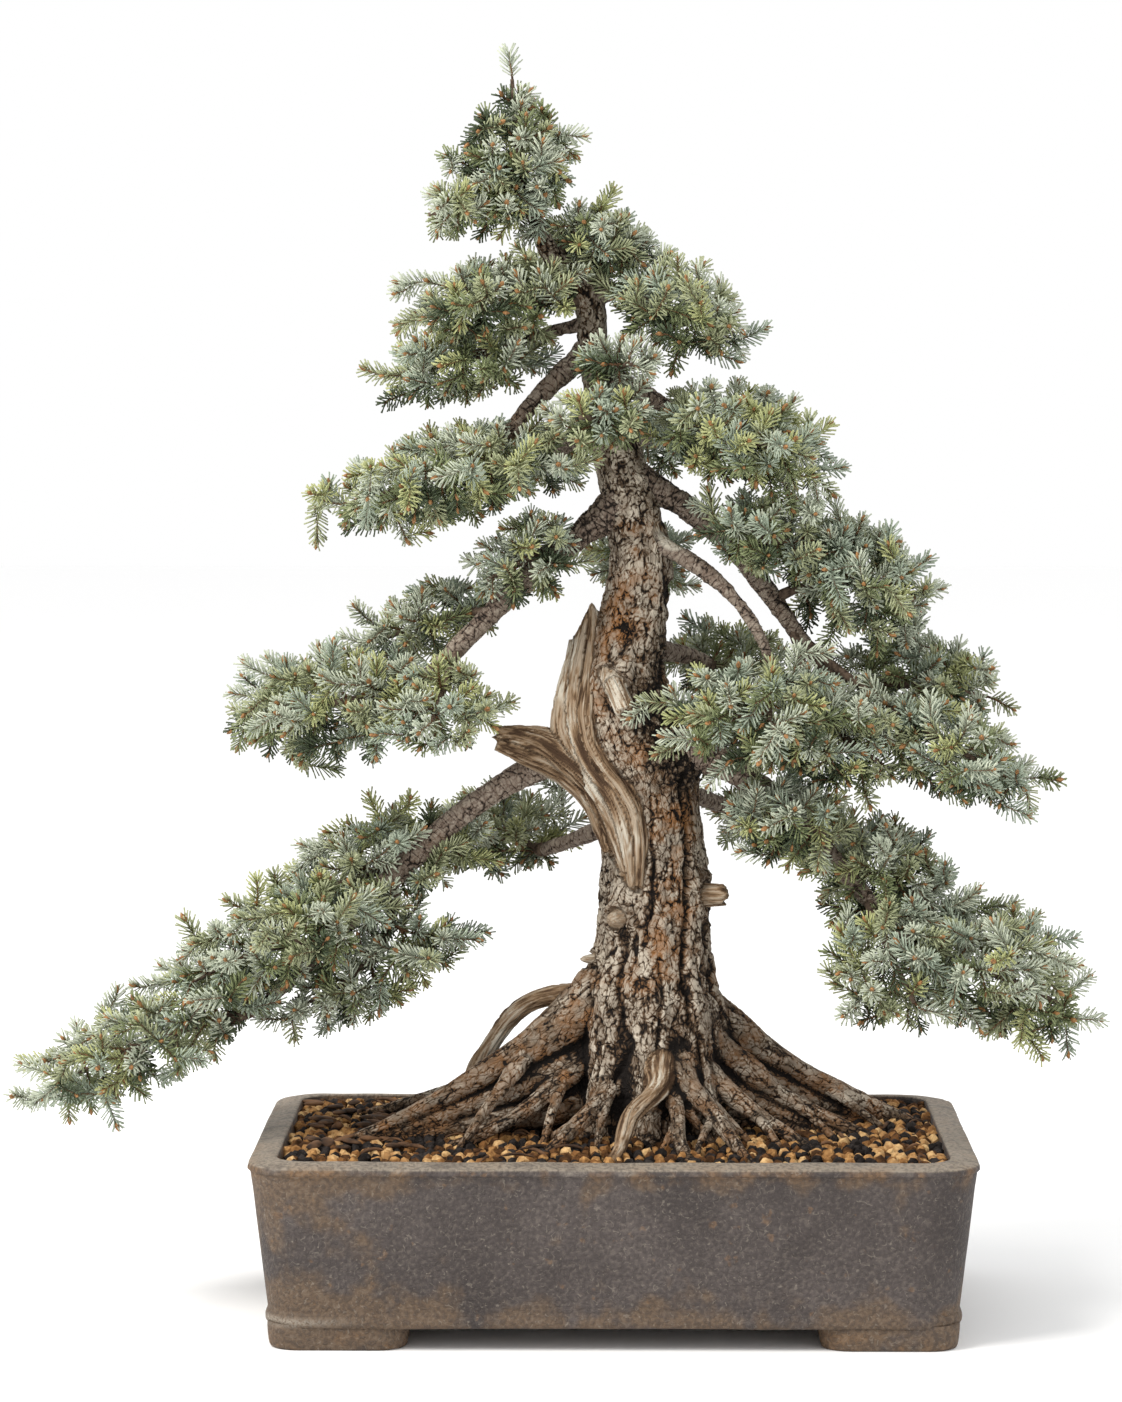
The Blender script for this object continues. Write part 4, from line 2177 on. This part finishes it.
        inputs = {"Mesh": given["Geometry"], "Distance Min": given["Spacing"], "Seed": given["Seed"]}
        inputs["Density Max"] = self.density
        points = add("GeometryNodeDistributePointsOnFaces", inputs, distribute_method="POISSON")
        chance = add("FunctionNodeRandomValue", {})[1]
        above = add("FunctionNodeCompare", {"A": chance, "B": given["From share"]}, operation="GREATER_EQUAL")
        below = add("FunctionNodeCompare", {"A": chance, "B": given["To share"]}, operation="LESS_THAN")
        both = add("FunctionNodeBooleanMath", {0: above[0], 1: below[0]})
        turn = add("FunctionNodeRandomValue", {"Max": (math.tau,) * 3}, data_type="FLOAT_VECTOR")
        size = add("FunctionNodeRandomValue", {"Seed": 9, 2: given["Smallest"], 3: given["Largest"]})
        source = add("GeometryNodeCollectionInfo", {"Collection": grains, "Separate Children": True})
        inputs = {"Points": points["Points"], "Selection": both[0], "Instance": source[0]}
        inputs |= {"Pick Instance": True, "Rotation": turn[0], "Scale": size[1]}
        placed = add("GeometryNodeInstanceOnPoints", inputs)
        real = add("GeometryNodeRealizeInstances", {0: placed[0]})
        finished = add("GeometryNodeSetMaterial", {"Geometry": real[0], "Material": given["Material"]})
        add("NodeGroupOutput", {0: finished[0]})
        return tree

    def scatter(self, finish: GrainFinish, shares: tuple[float, float], tree: bpy.types.NodeTree) -> None:
        """Makes the grains of one shade, in two layers.

        Args:
            finish: The shade's finish.
            shares: The part of the scatter that this shade takes.
            tree: The node tree.
        """
        material = finish.make()
        sizes = {
            "Spacing": self.spacing * MM,
            "Smallest": self.smallest,
            "Largest": self.largest,
            "From share": shares[0],
            "To share": shares[1],
            "Material": material,
        }
        bm = bmesh.new()
        for layer, drop in enumerate(self.layer_drops):
            obj = self.sheet(f"{finish.name}_{layer}", drop)
            scatter = obj.modifiers.new("grains", "NODES")
            scatter.node_group = tree
            sizes["Seed"] = 17 + layer
            for item in tree.interface.items_tree:
                if item.name in sizes:
                    scatter[item.identifier] = sizes[item.name]
            self.plant.settle(obj)
            bm.from_mesh(obj.data)
            bpy.data.objects.remove(obj)
        merged = bpy.data.meshes.new(finish.name)
        bm.to_mesh(merged)
        bm.free()
        self.plant.hand_over(add_object(finish.name, merged), material, "soil_granules", smooth=False)

    def make_fibres(self) -> None:
        """Makes the thin dry rootlets and flakes that lie among the grains."""
        rng = random.Random(8)
        shapes = []
        shares = np.linspace(0, 1, 7)
        for _ in range(self.fibres):
            x, y = rng.uniform(-195, 195), rng.uniform(-118, 118)
            heading, long, bend = rng.uniform(0, math.tau), rng.uniform(8, 26), rng.uniform(-0.8, 0.8)
            xs = np.clip(x + np.cos(heading + bend * shares) * long * shares, -202, 202)
            ys = np.clip(y + np.sin(heading + bend * shares) * long * shares, -128, 128)
            path = columns(xs, ys, self.height_at(xs, ys) + 2.0 + 2.2 * np.sin(math.pi * shares))
            wide = rng.uniform(0.7, 1.5)
            shapes.append(tube(path, wide * np.array((0.3, 0.9, 1.0, 0.9, 0.8, 0.6, 0.2)), 5))
        for _ in range(self.flakes):
            place = np.array((rng.uniform(-200, -105), rng.uniform(-80, 122), 0.0))
            place[2] = self.height_at(place[:1], place[1:2])[0] + rng.uniform(1.5, 4.0)
            way = unit(np.array((rng.gauss(0, 1), rng.gauss(0, 1), rng.gauss(0, 0.3))))
            middle = place + way * (np.array((-1.0, -0.6, 0.1, 0.7, 1.0)) * rng.uniform(5, 11))[:, None]
            flake = tube(middle, rng.uniform(3.0, 5.5) * np.array((0.3, 0.9, 1.0, 0.7, 0.2)), 6)
            flake.points[:, 2] = place[2] + (flake.points[:, 2] - place[2]) * 0.35
            shapes.append(flake)
        obj = self.plant.mesh_object("soil_fibres", Shape.joined(shapes))
        finish = PlainFinish("dry_fibre", display(112, 82, 58), display(44, 34, 28), 14.0, 0.9, 0.2)
        self.plant.hand_over(obj, finish.make(), "soil_granules")

    def build(self) -> None:
        """Dresses the bed and scatters the grains."""
        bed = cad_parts["soil"]
        bed.data.materials.clear()
        bed.data.materials.append(GrainFinish("soil_bed", display(30, 22, 16), display(14, 10, 8)).make())
        tree = self.tree(self.grain_meshes())
        for finish, shares in self.shades:
            self.scatter(finish, shares, tree)
        self.make_fibres()


# Pot

@dataclass
class Pot:
    """The stoneware pot: a lofted body with lip, bead and corner feet, a little uneven from the hand."""

    plant: Plant
    lip_height: float = 5.0
    lip_drop: float = 2.0
    rim_round: float = 2.6
    inner_round: float = 1.8
    overhang: float = 2.0
    taper: float = 9.8
    hollow: float = 0.1
    bead_height: float = 8.0
    bead_proud: float = 1.6
    foot_height: float = 14.0
    foot_length: float = 89.0
    foot_depth: float = 66.0
    floor_thickness: float = 11.0
    inner_taper: float = 12.0
    corner_steps: int = 10
    chips: int = 26
    # The feet's inset and height, from the underside up
    foot_profile: tuple[tuple[float, float], ...] = (
        (12.0, 0.0), (3.6, 0.0), (2.4, 0.6), (1.8, 1.8), (1.2, 5.0), (0.7, 10.0), (0.5, 13.5), (0.5, 16.0),
    )

    @property
    def base(self) -> tuple[float, float]:
        """Half the length and half the width of the wall's foot."""
        return POT_HALF_X - self.overhang - self.taper, POT_HALF_Y - self.overhang - self.taper

    def ring(
        self,
        half: tuple[float, float],
        inset: float,
        corner: float,
        height: float,
        steps: tuple[int, int] = (44, 30),
    ) -> Array:
        """Points round a rectangle with round corners.

        Args:
            half: Half the length and half the width that the rectangle is measured from.
            inset: How far inside these it lies.
            corner: The corners' radius.
            height: How high it lies.
            steps: How many steps a long side and a short side have.

        Returns:
            The points, anticlockwise from above.
        """
        reach_x, reach_y = half[0] - inset, half[1] - inset
        points = []
        signs = ((1, 1), (-1, 1), (-1, -1), (1, -1))

        def on_corner(number: int, angle: float) -> tuple[float, float]:
            """The point of one corner's arc at an angle.

            Args:
                number: Which corner, anticlockwise from the back right.
                angle: The angle from the right.

            Returns:
                X and Y.
            """
            sign_x, sign_y = signs[number % 4]
            x = sign_x * (reach_x - corner) + corner * math.cos(angle)
            return x, sign_y * (reach_y - corner) + corner * math.sin(angle)

        for quarter in range(4):
            for step in range(self.corner_steps + 1):
                points.append(on_corner(quarter, math.radians(90 * (quarter + step / self.corner_steps))))
            start = points[-1]
            end = on_corner(quarter + 1, math.radians(90 * (quarter + 1)))
            count = steps[quarter % 2]
            for step in range(1, count):
                share = step / count
                points.append(tuple(a + (b - a) * share for a, b in zip(start, end)))
        return np.array([(x, y, height) for x, y in points])

    def body(self) -> Shape:
        """The pot's body from its underside, up the wall, over the lip and down inside.

        Returns:
            The body.
        """
        lip_low = POT_HEIGHT - self.lip_drop - self.lip_height
        lip_top = lip_low + self.lip_height
        bead_top = self.foot_height + self.bead_height
        floor = self.foot_height + self.floor_thickness
        low_corner = POT_CORNER - 4
        inner_corner = POT_CORNER - 12
        rim = (POT_HALF_X, POT_HALF_Y)
        inside = (POT_HALF_X - RIM_WIDTH, POT_HALF_Y - RIM_WIDTH)
        rows = []
        for inset in (60.0, 20.0, 3.0):
            rows.append((self.base, inset, low_corner - min(inset, 8), self.foot_height))
        for share in np.linspace(0, 1, 9):
            angle = math.pi * share
            height = self.foot_height + 0.4 + (self.bead_height - 0.4) * (0.5 - 0.5 * math.cos(angle))
            rows.append((self.base, -self.bead_proud * math.sin(angle), low_corner, height))
        for share in np.linspace(0.03, 1.0, 22):
            inset = self.taper * (1 - share) + self.hollow * math.sin(math.pi * share) + self.overhang
            rows.append((rim, inset, low_corner, bead_top + (lip_low - 1 - bead_top) * share))
        for share in np.linspace(0.12, 1.0, 7):
            inset = self.overhang * math.cos(share * math.pi / 2) ** 1.2
            rows.append((rim, inset, low_corner + 4 * share, lip_low - 1 + 2.0 * share))
        for share in np.linspace(0.25, 1.0, 4):
            rows.append((rim, 0.0, POT_CORNER, lip_low + 1 + (self.lip_height - 4) * share))
        for share in np.linspace(0.2, 1.0, 5):
            angle = share * math.pi / 2
            inset = self.rim_round * (1 - math.cos(angle))
            rows.append((rim, inset, POT_CORNER - inset, lip_top - 3 + 3 * math.sin(angle)))
        for share in np.linspace(0.12, 0.88, 7):
            inset = self.rim_round + (RIM_WIDTH - self.rim_round - self.inner_round) * share
            height = lip_top + (POT_HEIGHT - lip_top) * math.sin(share * math.pi / 2)
            rows.append((rim, inset, POT_CORNER - inset, height))
        for share in np.linspace(0, 1, 5):
            angle = share * math.pi / 2
            height = POT_HEIGHT - self.inner_round * (1 - math.cos(angle))
            rows.append((inside, -self.inner_round * (1 - math.sin(angle)), inner_corner, height))
        for share in (0.06, 0.2, 0.5, 1.0):
            height = POT_HEIGHT - 2 + (floor - POT_HEIGHT + 2) * share
            rows.append((inside, self.inner_taper * share, inner_corner, height))
        for inset in (30.0, 80.0):
            rows.append((inside, inset, inner_corner, floor))
        return rings_to_shape(np.array([self.ring(*row) for row in rows]))

    def feet(self) -> list[Shape]:
        """The four corner feet, rounded at their edges.

        Returns:
            The feet.
        """
        half = (self.foot_length / 2, self.foot_depth / 2)
        shapes = []
        for sign_x, sign_y in ((-1, -1), (-1, 1), (1, -1), (1, 1)):
            middle = (sign_x * (self.base[0] - half[0]), sign_y * (self.base[1] - half[1]), 0.0)
            rings = []
            for inset, height in self.foot_profile:
                rings.append(self.ring(half, inset, min(18.0, half[1] - inset), height, (16, 12)) + middle)
            shapes.append(rings_to_shape(np.array(rings)))
        return shapes

    def dress(self, obj: Piece) -> None:
        """Makes the clay a little uneven, chips its edges and stores where it is worn.

        Args:
            obj: The pot.
        """
        points = self.plant.points_of(obj)
        normals = point_normals(obj)
        noise = Noise(91)
        lip_top = POT_HEIGHT - self.lip_drop
        lip_low = lip_top - self.lip_height
        outside = (np.abs(points[:, :2]) - (POT_HALF_X, POT_HALF_Y) + 10).max(axis=1) > 0
        uneven = noise.fractal(points / 46.0, 2) * 0.55 + noise.fractal(points / 9.0, 2, 4) * 0.14
        resting = points[:, 2] < 0.3
        height = np.where(resting, 0.0, uneven * (points[:, 2] > 1.0))
        rng = random.Random(12)
        lip_points = np.where((points[:, 2] > lip_top - 2.2) & outside)[0]
        chipped = np.zeros(len(points))
        for _ in range(self.chips):
            centre = points[rng.choice(list(lip_points))]
            size = rng.uniform(0.9, 2.4)
            chipped = np.maximum(chipped, np.exp(-((norms(points - centre) / size) ** 2)))
        height -= chipped * 0.7
        moved = points + normals * height[:, None]
        moved[:, 2] = np.maximum(moved[:, 2], 0.0)
        self.plant.set_points(obj, moved)
        z = points[:, 2]
        low = ramp(50, 14, z)
        left = ramp(-60, -215, points[:, 0])
        under_lip = np.exp(-(((z - lip_low + 4) / 9.0) ** 2)) * 0.5
        rim = ramp(0.45, 0.85, normals[:, 2]) * ramp(lip_top - 4, lip_top - 1, z)
        edge = np.exp(-(((z - lip_top + 3) / 4.0) ** 2)) * 0.9 + ramp(14, 9, z) * 0.7
        bead = np.exp(-(((z - self.foot_height - 4) / 2.4) ** 2))
        worn = bead * ramp(-150, -205, points[:, 0]) * ramp(0, -100, points[:, 1]) * 0.8
        store(
            obj,
            aged=np.clip(low * 0.75 + left * 0.55 + under_lip, 0, 1),
            rim=rim,
            edge=np.clip(edge, 0, 1),
            worn=np.clip(worn + chipped * 0.5, 0, 1),
        )

    def build(self) -> None:
        """Makes the pot."""
        obj = self.plant.mesh_object("stoneware_pot", Shape.joined([self.body(), *self.feet()]))
        self.dress(obj)
        self.plant.hand_over(obj, StonewareFinish().make(), "stoneware", ["pot"])


# The studio

@dataclass
class Studio:
    """The pale floor, the soft light and the camera."""

    plant: Plant
    camera_place: Point = (0.0, -3.0, 0.6)
    camera_target: Point = (-0.034, 0.0, 0.3935)
    lens: float = 120.2
    sensor: float = 36.0
    key_place: Point = (-2.2, -1.6, 2.8)
    fill_place: Point = (2.4, -1.6, 1.3)
    floor_half: float = 12.0

    def aim(self, obj: Piece, place: Sequence[float], target: Sequence[float]) -> None:
        """Puts a lamp or the camera at one place from the plant's foot and turns it towards another."""
        obj.location = Vector(place) + Vector(self.plant.origin)
        obj.rotation_euler = (Vector(target) - Vector(place)).to_track_quat("-Z", "Y").to_euler()

    def lamp(self, name: str, place: Sequence[float], power: float, size: float, colour: Colour) -> None:
        """A soft square lamp that looks at the plant.

        Args:
            name: The lamp's name.
            place: Where it hangs, from the middle of the pot's foot, in metres.
            power: Its power in watts.
            size: Its side in metres.
            colour: Its colour.
        """
        data = bpy.data.lights.new(name, "AREA")
        data.energy = power
        data.size = size
        data.color = colour
        self.aim(add_object(name, data), place, (0, 0, 0.35))

    def make_camera(self) -> None:
        """Sets up the camera at the photograph's view."""
        data = bpy.data.cameras.new("camera")
        data.lens = self.lens
        data.sensor_width = self.sensor
        data.clip_end = 100.0
        camera = add_object("camera", data)
        self.aim(camera, self.camera_place, self.camera_target)
        bpy.context.scene.camera = camera

    def make_floor(self) -> None:
        """Lays the pale floor."""
        mesh = bpy.data.meshes.new("floor")
        half = self.floor_half
        corners = [(-half, -half, 0), (half, -half, 0), (half, half, 0), (-half, half, 0)]
        mesh.from_pydata(corners, [], [(0, 1, 2, 3)])
        floor = add_object("floor", mesh)
        shader = Shader("floor")
        shader.finish((0.985, 0.985, 0.985), 0.9, 0.1)
        mesh.materials.append(shader.material)

    def make_light(self) -> None:
        """Sets the world's even light and the lamps."""
        world = bpy.data.worlds.new("studio")
        world.use_nodes = True
        even = {"Color": (1.0, 1.0, 1.0), "Strength": 1.0}
        fill(world.node_tree, world.node_tree.nodes["Background"], even)
        bpy.context.scene.world = world
        self.lamp("key", self.key_place, 120.0, 1.5, (1.0, 0.97, 0.93))
        self.lamp("fill", self.fill_place, 14.0, 2.4, (0.95, 0.97, 1.0))
        bpy.context.scene.view_settings.view_transform = "Standard"

    def build(self) -> None:
        """Makes the whole studio."""
        self.make_camera()
        self.make_floor()
        self.make_light()


def main() -> None:
    """Builds the studio and the plant, piece by piece."""
    plant = Plant()
    for sub_assembly in (Studio, Pot, SoilBed, Trunk, Boughs, Crown):
        sub_assembly(plant).build()
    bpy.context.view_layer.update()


if __name__ == "__main__":
    main()
